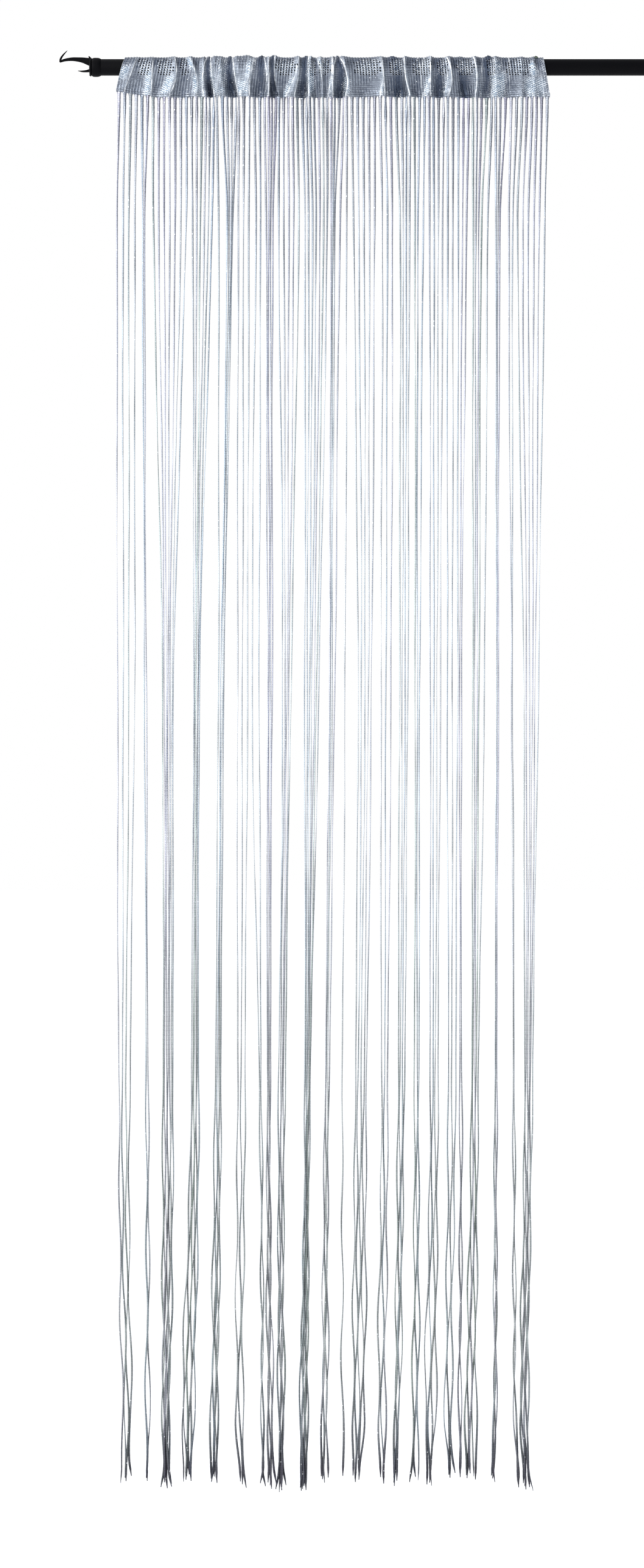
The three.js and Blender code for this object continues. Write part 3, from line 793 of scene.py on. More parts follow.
@dataclass(frozen=True)
class LurexChain:
    """Chain-stitched lurex yarn.

    To the eye each string is a thin silver-grey braid, dotted by painted light and shade on its
    stitches, some a little bluer, greener or more lilac than the next, and all of them much darker
    at the cut ends.
    """

    shades: Stops = (
        (0.0, "#b7bac2"),
        (0.07, "#b6bbc3"),
        (0.13, "#b9c0c7"),
        (0.22, "#c4ccd1"),
        (0.38, "#d6dde2"),
        (0.55, "#d3d9dc"),
        (0.66, "#b6bcbc"),
        (0.8, "#9ba1a0"),
        (0.9, "#9aa09e"),
        (0.95, "#8f9496"),
        (0.97, "#6c7074"),
        (0.985, "#505057"),
    )
    casts: Stops = (
        (0.0, "#e6eff9"),
        (0.35, "#ffffff"),
        (0.65, "#f2edf9"),
        (1.0, "#e8f2e8"),
    )
    glint: str = "#fafdff"
    glint_share: float = 0.014
    metallic: float = 0.65
    smooth: float = 0.3
    rough: float = 0.6
    length: float = 2420.0
    stretch_scale: float = 11.0
    string_step: float = 7.31
    stitch_share: float = 0.5
    darker: float = 0.12
    stitch_relief: float = 0.35

    def material(self) -> Material:
        """Builds the material from the string's own thread map and its height.

        Returns:
            The material.
        """
        material, shader, add = new_material("chain-stitched silver lurex")
        thread = add("UVMap", uv_map="thread")
        split = add("SeparateXYZ", {0: thread})
        # Three numbers across make one string, so a third of them counts the strings.
        third = add("Math", {0: split.outputs["X"], 1: 1 / 3, 2: 0.05}, operation="MULTIPLY_ADD")
        string = add("Math", {0: third}, operation="FLOOR")
        own = add("TexWhiteNoise", {"W": string}, noise_dimensions="1D")
        place = add("TexCoord")
        height = add("SeparateXYZ", {0: place.outputs["Object"]})
        down = add("Math", {0: height.outputs["Z"], 1: -1 / (self.length * MM)},
                   operation="MULTIPLY")
        shade = add("ValToRGB", {"Fac": down})
        fill_ramp(shade, self.shades)
        cast = add("ValToRGB", {"Fac": own})
        fill_ramp(cast, self.casts)
        tinted = add("Mix", {"Factor": 1.0, 6: shade, 7: cast}, data_type="RGBA",
                     blend_type="MULTIPLY")
        # Lighter and darker stretches about nine centimetres long, different on each string.
        stretch = add("Math", {0: height.outputs["Z"], 1: self.stretch_scale},
                      operation="MULTIPLY")
        apart = add("Math", {0: string, 1: self.string_step}, operation="MULTIPLY")
        where = add("CombineXYZ", {"X": apart, "Y": stretch})
        worn = add("TexNoise", {"Vector": where, "Scale": 1.0, "Detail": 3.0})
        # Each stitch gets painted light in its middle and painted shade where it is drawn through
        # the last one.
        beat = add("Math", {0: split.outputs["Y"], 1: 0.5}, operation="PINGPONG")
        patch = add("MapRange", {"Value": worn, "From Min": 0.3, "From Max": 0.7, "To Min": 0.62,
                                 "To Max": 1.25})
        dots = add("Math", {0: beat, 1: self.stitch_share, 2: patch}, operation="MULTIPLY_ADD")
        level = add("Math", {0: dots, 1: self.darker}, operation="SUBTRACT")
        colour = add("VectorMath", {0: tinted, "Scale": level}, operation="SCALE")
        stitch = add("VectorMath", {0: thread}, operation="FLOOR")
        chance = add("TexWhiteNoise", {"Vector": stitch}, noise_dimensions="2D")
        dull = add("MapRange", {"Value": chance, "To Min": self.rough, "To Max": self.smooth})
        # A few stitches catch the light, each in a small spot that is brightest in its middle.
        lucky = add("Math", {0: chance, 1: 1 - self.glint_share}, operation="GREATER_THAN")
        side = add("Math", {0: split.outputs["X"], 1: 0.5}, operation="PINGPONG")
        inside = add("Math", {0: side, 1: beat}, operation="ADD")
        spot = add("MapRange", {"Value": inside, "From Min": 0.45, "From Max": 0.85,
                                "To Max": lucky})
        final = add("Mix", {"Factor": spot, 6: colour, 7: linear(self.glint)}, data_type="RGBA")
        bump = add("Bump", {"Height": beat, "Strength": 0.7, "Distance": self.stitch_relief * MM})
        connect(shader, {"Base Color": final, "Roughness": dull, "Normal": bump,
                         "Metallic": self.metallic})
        return material


@dataclass(frozen=True)
class PowderCoat:
    """Black powder-coated steel.

    To the eye it is nearly black and satin, with the faint orange peel of a baked coat.
    """

    colour: str = "#040406"
    worn: str = "#0a0a0d"
    smooth: float = 0.47
    rough: float = 0.67
    specular: float = 0.06
    peel: float = 1.4
    peel_relief: float = 0.1
    cloud: float = 60.0

    def material(self) -> Material:
        """Builds the material on object coordinates.

        Returns:
            The material.
        """
        material, shader, add = new_material("black powder-coated steel")
        place = add("TexCoord").outputs["Object"]
        peel = add("TexNoise", {"Vector": place, "Scale": 1 / (self.peel * MM), "Detail": 3.0})
        cloud = add("TexNoise", {"Vector": place, "Scale": 1 / (self.cloud * MM), "Detail": 4.0})
        colour = add("Mix", {"Factor": cloud, 6: linear(self.colour), 7: linear(self.worn)},
                     data_type="RGBA")
        rough = add("MapRange", {"Value": peel, "To Min": self.smooth, "To Max": self.rough})
        bump = add("Bump", {"Height": peel, "Strength": 0.25, "Distance": self.peel_relief * MM})
        connect(shader, {"Base Color": colour, "Roughness": rough, "Normal": bump,
                         "Specular IOR Level": self.specular})
        return material


@dataclass
class CurtainRod:
    """The rod, one steel bar with softened ends."""

    radius: float = 14.0
    left: float = -395.1
    right: float = 560.0
    sides: int = 96
    edge: float = 0.8
    lip: float = 2.4
    dish: float = 0.5
    sharp: float = 35.0

    def build(self, material: Material) -> Piece:
        """Models the rod and its plain right end.

        Args:
            material: the coat.

        Returns:
            The finished rod.
        """
        piece = start_shape(
            bpy.ops.mesh.primitive_cylinder_add, vertices=self.sides, radius=self.radius * MM,
            depth=(self.right - self.left) * MM, rotation=(0, math.pi / 2, 0),
            location=((self.left + self.right) / 2 * MM, 0, 0))
        select_faces(piece, lambda centre, normal: abs(normal.x) > 0.9)
        bpy.ops.mesh.bevel(offset=self.edge * MM, segments=3, affect="EDGES")
        select_faces(piece, lambda centre, normal: normal.x > 0.99)
        bpy.ops.mesh.inset(thickness=self.lip * MM)
        bpy.ops.mesh.extrude_region_move(
            TRANSFORM_OT_translate={"value": (-self.dish * MM, 0, 0)})
        bpy.ops.object.mode_set(mode="OBJECT")
        piece = finish_hardware("rod_bar", [piece], material, self.sharp)
        return settle(piece, Slot.ROD, "rod")


@dataclass
class EndPiece:
    """The collar on the rod's left end, and the disc with its leaves and two prongs."""

    round_sides: int = 64
    prong_sides: int = 20
    steps: int = 5
    round_steps: int = 3
    sharp: float = 50.0

    def build(self, material: Material) -> list[Piece]:
        """Models the collar and the pronged end.

        Args:
            material: the coat.

        Returns:
            The collar and the pronged end.
        """
        collar = draw_out(smooth_rows(COLLAR, self.round_steps), self.round_sides)
        collar = finish_hardware("collar", [collar], material, self.sharp)
        settle(collar, Slot.FINIAL, "finial_collar")
        parts = [draw_out(smooth_rows(DISC, self.round_steps), self.round_sides)]
        for rows in (UPPER_PRONG, HOOK, LOWER_PRONG, UPPER_LEAF, LOWER_LEAF):
            parts.append(draw_out(smooth_rows(rows, self.steps), self.prong_sides))
        prongs = finish_hardware("pronged_end", parts, material, self.sharp)
        settle(prongs, Slot.FINIAL, "finial")
        return [collar, prongs]


@dataclass
class Pocket:
    """The gathered rod pocket as a surface.

    A place counts fold rows across the cloth. A turn runs round the rod: 0 is the hem in
    front, 1 is the top of the rod and 2 is the hem behind.
    """

    cloth: float = 1.6
    band_height: float = 8.0
    radius: float = 16.3
    crown_share: float = 0.45
    softness: float = 2.0
    band_share: float = 0.11
    side_share: float = 0.56
    side_lean: float = 0.63
    strip_height: float = 4.0
    gap: float = 0.3
    crispness: float = 0.6
    crest_power: float = 1.7
    crease_power: float = 1.5
    crease_bottom: float = -45.0
    top_height: float = 16.0
    top_fade: float = 0.2
    rod_shade: float = 0.13
    tangent_step: float = 0.02
    back_share: float = 0.7
    line_half: float = 2.4
    line_height: float = 2.4
    line_width: float = 2.4
    far: float = 6.0
    spread_least: float = 0.35
    open_middle: float = -1.0
    open_half: float = 14.5
    pucker_start: float = 0.55
    fold_range: float = 44.0
    crease_range: float = 12.0

    def fold(self, place: Array) -> tuple[Array, ...]:
        """Reads the folds.

        Args:
            place: places across the cloth.

        Returns:
            x at the hem, x at the top, the bow and how proud the cloth stands.
        """
        row = np.clip(np.floor(place).astype(int), 0, len(FOLDS) - 2)
        u = place - row
        here, there = FOLDS[row], FOLDS[row + 1]
        hem, top, bow = (mix(here[..., k], there[..., k], u) for k in range(3))
        # A crest is drawn sharper than a cosine, as taut cloth is.
        falling = here[..., 3] > there[..., 3]
        sharp = np.where(falling, 1 - (1 - u) ** self.crest_power, u ** self.crest_power)
        rise = mix(ease(u), sharp, self.crispness)
        return hem, top, bow, mix(here[..., 3], there[..., 3], rise)

    def hem_depth(self, x: Array) -> Array:
        """How far the pocket's hem lies below the rod's axis at x."""
        return edge_depth(x) - self.strip_height - self.gap

    def half_lengths(self) -> tuple[float, float, float]:
        """Measures half the pocket, from the hem to the top.

        Returns:
            Lengths of the band, of the straight side and of the arc.
        """
        seam = float(self.hem_depth(np.array(0.0))) - self.band_height
        tilt = math.asin(self.radius / seam)
        side = math.hypot(self.radius * math.cos(tilt) - self.cloth / 2,
                          seam - self.radius * math.sin(tilt))
        return self.band_height, side, self.radius * (math.pi / 2 + tilt)

    def turn_at(self, way: Array) -> Array:
        """Turns ways along the cloth into turns.

        Args:
            way: ways in millimetres from the front hem.

        Returns:
            Turns round the rod, as many.
        """
        band, side, arc = self.half_lengths()
        half = band + side + arc
        ways = [0, band, band + side, half]
        turns = [0, self.band_share, self.side_share, 1]
        folded = np.where(way > half, 2 * half - way, way)
        turn = np.interp(folded, ways, turns)
        return np.where(way > half, 2 - turn, turn)

    def creases(self, x: Array, z: Array) -> tuple[Array, ...]:
        """Adds up the creases.

        Args:
            x: x of the cloth without creases.
            z: its height.

        Returns:
            How far the creases stand out toward the front, how near each point is to a sharp
            ridge, from 0 to 1, and how far in millimetres it lies to that ridge's right.
        """
        total, line = np.zeros_like(x), np.zeros_like(x)
        beside = np.full_like(x, self.far)
        down = np.clip((self.top_height - z) / (self.top_height - self.crease_bottom), 0, 1)
        for top, middle, hem, left, right, at_top, at_middle, at_hem in CREASES:
            path = (top * (1 - down) * (1 - 2 * down) + 4 * middle * down * (1 - down)
                    + hem * down * (2 * down - 1))
            height = np.interp(down, [0, 0.5, 1], [at_top, at_middle, at_hem])
            off = x - path
            # A crease is widest where it stands out most.
            peak = max(abs(at_top), abs(at_middle), abs(at_hem))
            spread = mix(self.spread_least, 1, np.abs(height) / peak)
            half = np.where(off < 0, left, right) * spread
            total += height * np.exp(-np.abs(off / half) ** self.crease_power)
            sharp = np.clip(height / self.line_height, 0, 1) * min(
                1, self.line_width / min(left, right))
            near = sharp * np.exp(-(off / self.line_half) ** 2)
            beside = np.where(near > line, np.clip(off, -self.far, self.far), beside)
            line = np.maximum(line, near)
        return total, line, beside

    def sheen(self, x: Array, z: Array) -> Array:
        """Finds how much the cloth glitters.

        Args:
            x: x of the cloth.
            z: its height.

        Returns:
            Shares from 0 to 1.
        """
        most = np.zeros_like(x)
        for place, height, half, half_height, lean, bright in SHEEN:
            up = (z - height) / half_height
            off = (x - place - lean * up) / half
            most = np.maximum(most, bright * np.exp(-off ** 4 - up ** 4))
        return most

    def openness(self, x: Array, z: Array) -> Array:
        """Finds how far the gaps of the knit stand open.

        Args:
            x: x of the cloth.
            z: its height.

        Returns:
            Shares from 0 to 1.
        """
        widest = np.zeros_like(x)
        high = ((z - self.open_middle) / self.open_half) ** 4
        for place, half in OPEN_KNIT:
            widest = np.maximum(widest, 1 - ((x - place) / half) ** 4 - high)
        return np.sqrt(widest)

    def puckers(self, x: Array) -> Array:
        """How far the cloth stands up over the top of the rod at x."""
        return sum(height * np.exp(-((x - place) / half) ** 2)
                   for place, half, height in PUCKERS)

    def surface(self, place: Array, turn: Array) -> tuple[Array, dict[str, Array]]:
        """Finds where the middle of the cloth's thickness lies.

        Args:
            place: places across the cloth.
            turn: turns round the rod, as many.

        Returns:
            The points, one row each, and what the material reads of them: "depth", painted shade
            and light from 0 deep in a fold to 1 on a crest as seen from its own side, "edge", how
            near a sharp ridge with its painted highlight is, "ridge", how far it lies to the left,
            and "sheen", how much the cloth glitters.
        """
        hem, top, bow, proud = self.fold(place)
        back = turn > 1
        v = np.where(back, 2 - turn, turn)
        hem_depth = self.hem_depth(hem)
        seam_depth = hem_depth - self.band_height
        tilt = np.arcsin(self.radius / seam_depth)
        on_side = (v - self.band_share) / (self.side_share - self.band_share)
        on_arc = (v - self.side_share) / (1 - self.side_share)
        angle = np.where(on_arc > 0, mix(-tilt, np.pi / 2, on_arc), -tilt)
        side_share = np.clip(on_side, 0, 1)
        straight_out = mix(self.cloth / 2, self.radius * np.cos(tilt), side_share)
        straight_z = mix(-seam_depth, -self.radius * np.sin(tilt), side_share)
        band_z = mix(-hem_depth, -seam_depth, v / self.band_share)
        out = np.where(on_arc > 0, self.radius * np.cos(angle), straight_out)
        z = np.where(on_arc > 0, self.radius * np.sin(angle),
                     np.where(on_side > 0, straight_z, band_z))
        lean = (z + hem_depth) / (self.radius + hem_depth)
        x = bowed(hem, top, bow, lean)
        # Sewn together at the hem, the two halves crease alike there and part higher up.
        front, line, beside = self.creases(x, z)
        rear, rear_line, rear_beside = self.creases(-x, z)
        crease = np.where(back, mix(front, -self.back_share * rear, ease(on_side)), front)
        # Over the top of the rod the creases of the front and of the back fade out.
        over = ease((1 - on_arc) / self.top_fade)
        crease = crease * over
        marks = {
            "edge": np.where(back, rear_line * ease(on_side), line) * over,
            "ridge": np.where(back, rear_beside, beside),
            "sheen": self.sheen(np.where(back, -x, x), z),
        }
        # Painted shade and light for the depth mark: darker deep in folds and creases, lighter on
        # crests.
        light = proud / self.fold_range + crease / self.crease_range
        # Where the knit lies on the rod, the black of the rod shows through it.
        shade = self.rod_shade * ease(on_arc / (1 - self.side_share))
        marks["depth"] = np.clip(0.5 + np.where(back, -light, light) - shade, 0, 1)
        proud = proud + crease
        own = self.standing(np.where(back, -proud, proud))
        crown = (self.crown_share * self.standing(proud)
                 + self.puckers(x) * ease((on_arc - self.pucker_start)
                                          / (1 - self.pucker_start)))
        ripple = ease(on_side) * mix(own, crown, ease(on_arc))
        sway = (1 - ease(on_side)) * proud
        reach = out + ripple * np.cos(angle)
        y = np.where(back, reach, -reach) - sway
        points = np.stack([x, y, z + ripple * np.sin(angle)], -1)
        return points, marks

    def standing(self, proud: Array) -> Array:
        """Keeps what stands out and presses the rest flat, with a soft change between."""
        return (proud + np.hypot(proud, self.softness)) / 2

    def places_at(self, shares: Array, turns: Array) -> Array:
        """Turns shares of the cloth's width, from 0 to 1, into places across it.

        Args:
            shares: a row of shares for each turn.
            turns: how far round the rod each row lies.

        Returns:
            Places, as many as the shares.
        """
        stations = np.arange(0, len(FOLDS) - 0.75, 0.5)
        hem, top, bow, proud = self.fold(stations)
        v = np.where(turns > 1, 2 - turns, turns)
        leans = np.interp(v, [0, self.side_share, 1], [0, self.side_lean, 1])
        places = np.empty_like(shares)
        for row, lean in enumerate(leans):
            steps = np.hypot(np.diff(bowed(hem, top, bow, lean)), np.diff(proud))
            way = np.concatenate([[0], np.cumsum(steps)])
            places[row] = np.interp(shares[row] * way[-1], way, stations)
        return places


@dataclass
class Knit:
    """Open warp knit: chains of loops side by side, tied together by slanting yarns.

    The real knit has a loop every 3.6 mm; it is drawn at 4 mm to keep the mesh light.
    """

    wales: int = 181
    wale_pitch: float = 5.0
    course_pitch: float = 4.0
    loop_half: float = 1.45
    neck_half: float = 1.0
    loop_relief: float = 0.8
    neck_relief: float = 0.35
    thickness: float = 0.7
    side_number: float = 0.3
    hem_courses: float = 1.6
    hem_share: float = 0.07
    hem_light: float = 0.9
    selvedge_light: float = 0.6
    open_widen: float = 0.4
    open_least: float = 0.02
    open_chance: float = 0.55
    open_light: float = 0.45
    seed: int = 11

    def across(self, half: Array) -> tuple[Array, Array]:
        """Lays three lines of points along every wale.

        Args:
            half: half width of each wale at each row of points.

        Returns:
            Shares of the hem's length, row by row, and the thread number of each line.
        """
        side = np.array([-1, 0, 1])
        flat_width = self.wale_pitch * (self.wales - 1)
        shares = (np.linspace(0, 1, self.wales)[None, :, None]
                  + side[None, None, :] * half[:, :, None] / flat_width)
        number = (np.repeat(np.arange(self.wales), 3)
                  + np.tile(0.5 + side * self.side_number, self.wales))
        return np.clip(shares, 0, 1).reshape(len(half), -1), number

    def faces(self, rows: int, closed: Array) -> list[list[int]]:
        """Joins the points into loops and slanting ties, and leaves the gaps open.

        Args:
            rows: rows of points along each wale, two for each course and one more.
            closed: for each row, true at each gap between wales that is drawn closed.

        Returns:
            Vertex numbers of each face, the last ones along both hems three-sided.
        """
        wide = 3 * self.wales
        row, wale, half = np.meshgrid(np.arange(rows - 1), np.arange(self.wales),
                                      np.arange(2), indexing="ij")
        start = (row * wide + 3 * wale + half).ravel()
        chains = np.stack([start, start + 1, start + 1 + wide, start + wide], -1)
        tied = closed | (np.arange(rows) % 2 == 1)[:, None]
        tied[[0, -1]] = False
        row, wale = np.nonzero(tied)
        left = row * wide + 3 * wale + 2
        right = left + 1 - wide
        ties = np.stack([left, right, right + wide, left + wide], -1)
        low = 3 * np.arange(self.wales - 1) + 2
        high = low + (rows - 1) * wide
        corners = np.concatenate([np.stack([low, low + 1, low + wide], -1),
                                  np.stack([high + 1 - wide, high + 1, high], -1)])
        return np.concatenate([chains, ties]).tolist() + corners.tolist()

    def trim(self, marks: dict[str, Array], courses: Array) -> None:
        """Adds the light on the hem's loops and on the selvedges to the marks.

        Args:
            marks: what the material reads of each point.
            courses: how many courses each row lies from the nearest hem.
        """
        edge = marks["edge"]
        # Along the hem some of the loops catch the light.
        chance = np.random.default_rng(self.seed).random(edge.shape)
        lucky = (chance < self.hem_share) & (courses < self.hem_courses)[:, None]
        dots = np.where(lucky, self.hem_light, 0)
        selvedge = np.zeros(edge.shape[1])
        selvedge[[0, 1, -2, -1]] = self.selvedge_light
        marks["edge"] = np.maximum(np.maximum(edge, dots), selvedge[None, :])
        bare = (dots > edge) | (selvedge[None, :] > edge)
        marks["ridge"] = np.where(bare, 0, marks["ridge"])

    def build(self, name: str, pocket: Pocket, ways: Array, material: Material) -> Piece:
        """Knits a piece of the pocket.

        Args:
            name: the piece's name.
            pocket: the surface that the knit lies on.
            ways: distances from the front hem of the rows of points.
            material: the knit's material.

        Returns:
            The finished piece, a closed mesh with its real thickness.
        """
        loops = np.arange(len(ways)) % 2 == 1
        relief = np.where(loops, self.loop_relief, self.neck_relief)
        turns = pocket.turn_at(ways)
        turn = turns[:, None]
        even = np.tile(np.linspace(0, 1, self.wales), (len(ways), 1))
        middles = pocket.places_at(even, turns)
        where, _ = pocket.surface(*np.broadcast_arrays(middles, turn))
        seen_x = np.where(turn > 1, -where[..., 0], where[..., 0])
        stretched = pocket.openness(seen_x, where[..., 2])
        half = np.where(loops, self.loop_half, self.neck_half)[:, None]
        shares, number = self.across(half * (1 + self.open_widen * stretched))
        place = pocket.places_at(shares, turns)
        points, marks = pocket.surface(*np.broadcast_arrays(place, turn))
        normal = np.cross(np.gradient(points, axis=1), np.gradient(points, axis=0))
        normal /= np.maximum(np.linalg.norm(normal, axis=-1, keepdims=True), 1e-9)
        ridge = np.tile(np.array([False, True, False]), self.wales)
        lift = relief[:, None] * ridge[None, :]
        points = points + normal * lift[..., None]
        course = ways / self.course_pitch
        uv = np.stack(np.broadcast_arrays(number[None, :], course[:, None]), -1)
        marks["sheen"] = np.maximum(marks["sheen"],
                                    self.open_light * np.repeat(stretched, 3, axis=1))
        self.trim(marks, np.minimum(course, course[-1] - course))
        # Away from those places the real gaps are too fine to see through two layers.
        chance = np.random.default_rng(self.seed).random((len(ways), self.wales - 1))
        closed = ((stretched[:, :-1] + stretched[:, 1:]) / 2
                  < self.open_least + self.open_chance * chance)
        piece = mesh_piece(name, points.reshape(-1, 3), self.faces(len(ways), closed), material,
                           uv.reshape(-1, 2), marks)
        thicken(piece, self.thickness)
        return piece


@dataclass
class Heading:
    """The gathered rod pocket, one knitted cloth folded over the rod."""

    flat_width: float = 900.0

    def build(self, pocket: Pocket, knit: Knit, material: Material, hung_on: Piece,
              with_pieces: list[Piece]) -> Piece:
        """Args:
            pocket: the surface that it lies on.
            knit: how it is knitted.
            material: its material.
            hung_on: the piece that it hangs on, not used.
            with_pieces: the pieces that hang from it, not used.

        Returns:
            The finished heading.
        """
        whole = 2 * sum(pocket.half_lengths())
        courses = round(whole / knit.course_pitch)
        ways = np.linspace(0, whole, 2 * courses + 1)
        piece = knit.build("heading_knit", pocket, ways, material)
        settle(piece, Slot.HEADING, "heading")
        return piece


@dataclass
class Strings:
    """The chain-stitched strings and the knitted edge that they grow from."""

    width: float = 2.2
    depth: float = 1.2
    deepest: float = 1.2
    root_spread: float = 2.8
    root_fade: float = 2.1
    root_most: float = 3.6
    root_rings: int = 7
    root_step: float = 1.2
    upper_spread: float = 1.5
    upper_fade: float = 170.0
    unevenness: float = 0.06
    layer_step: float = 2.1
    layers: int = 3
    settle_length: float = 450.0
    wander: float = 0.6
    wander_period: float = 640.0
    twine: float = 2.2
    twine_period: float = 230.0
    twine_start: float = 1500.0
    twine_fade: float = 700.0
    uneven_ends: float = 14.0
    turning: float = 0.5
    turn_waves: Table = ((170.0, 6.0), (71.0, 17.0))
    spring: float = 28.0
    pinch: float = 0.85
    root_depth: float = 1.2
    root_turn: float = 60.0
    ring_step: float = 4.0
    stitch: float = 4.0
    groups: int = 3
    edge_rows: int = 3
    edge_thickness: float = 1.4
    edge_lap: float = 1.8
    low_spread: float = 0.33
    low_start: float = 800.0
    low_fade: float = 500.0
    end_spread: float = 0.42
    end_start: float = 150.0
    end_fade: float = 140.0
    tip: float = 0.4
    tip_length: float = 16.0

    def curve(self, heights: list[float], values: list[float], z: Array) -> Array:
        """Draws a smooth curve through values at falling heights, plumb at the first one.

        Args:
            heights: the heights of the values.
            values: what the curve passes through.
            z: where to read it.

        Returns:
            The curve's value at each z.
        """
        h, v = np.array(heights), np.array(values)
        last = len(h) - 1
        after = np.minimum(np.arange(last + 1) + 1, last)
        before = np.arange(last + 1) - 1
        slope = (v[after] - v[before]) / (h[after] - h[before])
        slope[0] = 0
        i = np.clip(np.searchsorted(-h, -z, side="left") - 1, 0, last - 1)
        span = h[i + 1] - h[i]
        u = (z - h[i]) / span
        rise = u * u * (3 - 2 * u)
        leave = u * (1 - u) * (1 - u) * span * slope[i]
        arrive = u * u * (u - 1) * span * slope[i + 1]
        return mix(v[i], v[i + 1], rise) + leave + arrive

    def path(self, number: int, root: Array, bundle: tuple[float, ...], rank: int) -> Array:
        """Finds where one string hangs.

        Args:
            number: the string's number from the left.
            root: x and y of its root.
            bundle: its row of the bundle table.
            rank: its number in the bundle.

        Returns:
            Points down the string, one row each.
        """
        count, *spread, reach = bundle
        side = 2 * rank / (count - 1) - 1 if count > 1 else 0
        chance = chance_of(number)
        root_z = self.root_depth - float(edge_depth(root[0]))
        end_z = -reach + self.uneven_ends * (chance - 0.5)
        # The rings are closest where the string widens into its root.
        near = root_z - self.root_step * np.arange(self.root_rings)
        steps = round((near[-1] - end_z) / self.ring_step)
        z = np.concatenate([near[:-1], np.linspace(near[-1], end_z, steps + 1)])
        middles, halves = spread[::2], spread[1::2]
        # The cut ends spring apart over the last few centimetres.
        spring_z = end_z + self.spring
        share = (BUNDLE_HEIGHTS[-1] - spring_z) / (BUNDLE_HEIGHTS[-1] - end_z)
        middles.insert(-1, mix(middles[-2], middles[-1], share))
        halves.insert(-1, self.pinch * min(halves[-2], halves[-1]))
        heights = [root_z, *BUNDLE_HEIGHTS, spring_z, end_z]
        places = [root[0], *(middle + side * half for middle, half in zip(middles, halves))]
        free = ease((root_z - z) / self.settle_length)
        sway = self.wander * np.sin(2 * np.pi * (z / self.wander_period + chance))
        layer = self.layer_step * ((rank + 1) % self.layers - 1)
        # Lower down the strings of a bundle wind past each other.
        low = ease((-z - self.twine_start) / self.twine_fade)
        wind = self.twine * low * np.sin(2 * np.pi * (z / self.twine_period + chance))
        x = self.curve(heights, places, z) + free * sway + wind
        return np.stack([x, mix(root[1], layer, free), z], -1)

    def skin(self, path: Array, half: Array, deep: Array, turn: Array,
             number: int) -> tuple[Array, ...]:
        """Wraps a four-sided skin round a path.

        Args:
            path: points along the middle.
            half: half width at each point.
            deep: half depth at each point.
            turn: how far the skin has turned there, in radians.
            number: the string's number from the left.

        Returns:
            Points, faces and thread map of the closed skin.
        """
        rings = len(path)
        corners = np.array([[-1, 0], [0, -1], [1, 0], [0, 1]])
        flat_x = corners[None, :, 0] * half[:, None]
        flat_y = corners[None, :, 1] * deep[:, None]
        cos, sin = np.cos(turn)[:, None], np.sin(turn)[:, None]
        offset = np.stack([flat_x * cos - flat_y * sin, flat_x * sin + flat_y * cos,
                           np.zeros_like(flat_x)], -1)
        points = (path[:, None, :] + offset).reshape(-1, 3)
        ring, k = np.meshgrid(np.arange(rings - 1), np.arange(4), indexing="ij")
        a = (ring * 4 + k).ravel()
        b = (ring * 4 + (k + 1) % 4).ravel()
        last = 4 * (rings - 1)
        caps = np.array([[0, 1, 2, 3], [last + 3, last + 2, last + 1, last]])
        faces = np.concatenate([np.stack([a, a + 4, b + 4, b], -1), caps])
        u = np.tile(3 * number + np.array([0, 1, 2, 1]), rings)
        v = np.repeat(way_along(path) / self.stitch, 4)
        return points, faces, np.stack([u, v], -1)

    def strand(self, path: Array, number: int, lie: float) -> tuple[Array, ...]:
        """Makes one string, a flat braid that turns slowly and narrows to its cut end.

        Args:
            path: the points down its middle.
            number: the string's number from the left.
            lie: the hem's direction at its root, in radians from +X.

        Returns:
            Points, faces and thread map of the braid.
        """
        chance = chance_of(number)
        way = way_along(path)
        turn = sum(self.turning * np.sin(way / wave + shift * chance)
                   for wave, shift in self.turn_waves)
        turn = mix(lie, turn, ease(way / self.root_turn))
        size = np.where(np.arange(len(path)) % 2 == 0, 1 - self.unevenness, 1 + self.unevenness)
        wider = (1 + self.root_spread * np.exp(-way / self.root_fade)
                 + self.upper_spread * np.exp(-way / self.upper_fade))
        size = size * np.minimum(wider, self.root_most)
        # The loose chain slackens lower down and opens at its cut end.
        size = size + self.low_spread * ease((way - way[-1] + self.low_start) / self.low_fade)
        size = size + self.end_spread * ease((way - way[-1] + self.end_start) / self.end_fade)
        size = size * mix(self.tip, 1, ease((way[-1] - way) / self.tip_length))
        deep = self.depth / 2 * np.minimum(size, self.deepest)
        return self.skin(path, self.width / 2 * size, deep, turn, number)

    def build(self, pocket: Pocket, knit: Knit, knit_material: Material,
              chain_material: Material) -> list[Piece]:
        """Builds the knitted edge and all strings.

        Args:
            pocket: the surface that the heading lies on.
            knit: how the edge is knitted.
            knit_material: the edge's material.
            chain_material: the strings' material.

        Returns:
            The edge and the groups of strings.
        """
        total = sum(bundle[0] for bundle in BUNDLES)
        places = pocket.places_at((np.arange(total)[None, :] + 0.5) / total, np.zeros(1))[0]
        roots, _ = pocket.surface(places, np.zeros_like(places))
        roots[:, 1] += pocket.cloth / 2
        beyond, _ = pocket.surface(places + pocket.tangent_step, np.zeros_like(places))
        along = beyond - roots + np.array([0, pocket.cloth / 2, 0])
        lies = np.arctan2(along[:, 1], along[:, 0])
        parts: list[list[tuple[Array, ...]]] = [[] for _ in range(self.groups)]
        number = 0
        for bundle in BUNDLES:
            group = min(self.groups - 1, number * self.groups // total)
            for rank in range(bundle[0]):
                path = self.path(number, roots[number], bundle, rank)
                parts[group].append(self.strand(path, number, lies[number]))
                number += 1
        pieces = [self.edge(pocket, knit, knit_material)]
        for group, skins in enumerate(parts):
            starts = np.cumsum([0] + [len(points) for points, _, _ in skins])
            points = np.concatenate([points for points, _, _ in skins])
            faces = np.concatenate([faces + start
                                    for (_, faces, _), start in zip(skins, starts)])
            uv = np.concatenate([uv for _, _, uv in skins])
            piece = mesh_piece(f"strings_{group + 1}", points, faces.tolist(),
                               chain_material, uv)
            pieces.append(settle(piece, Slot.STRINGS, "strings"))
        return pieces

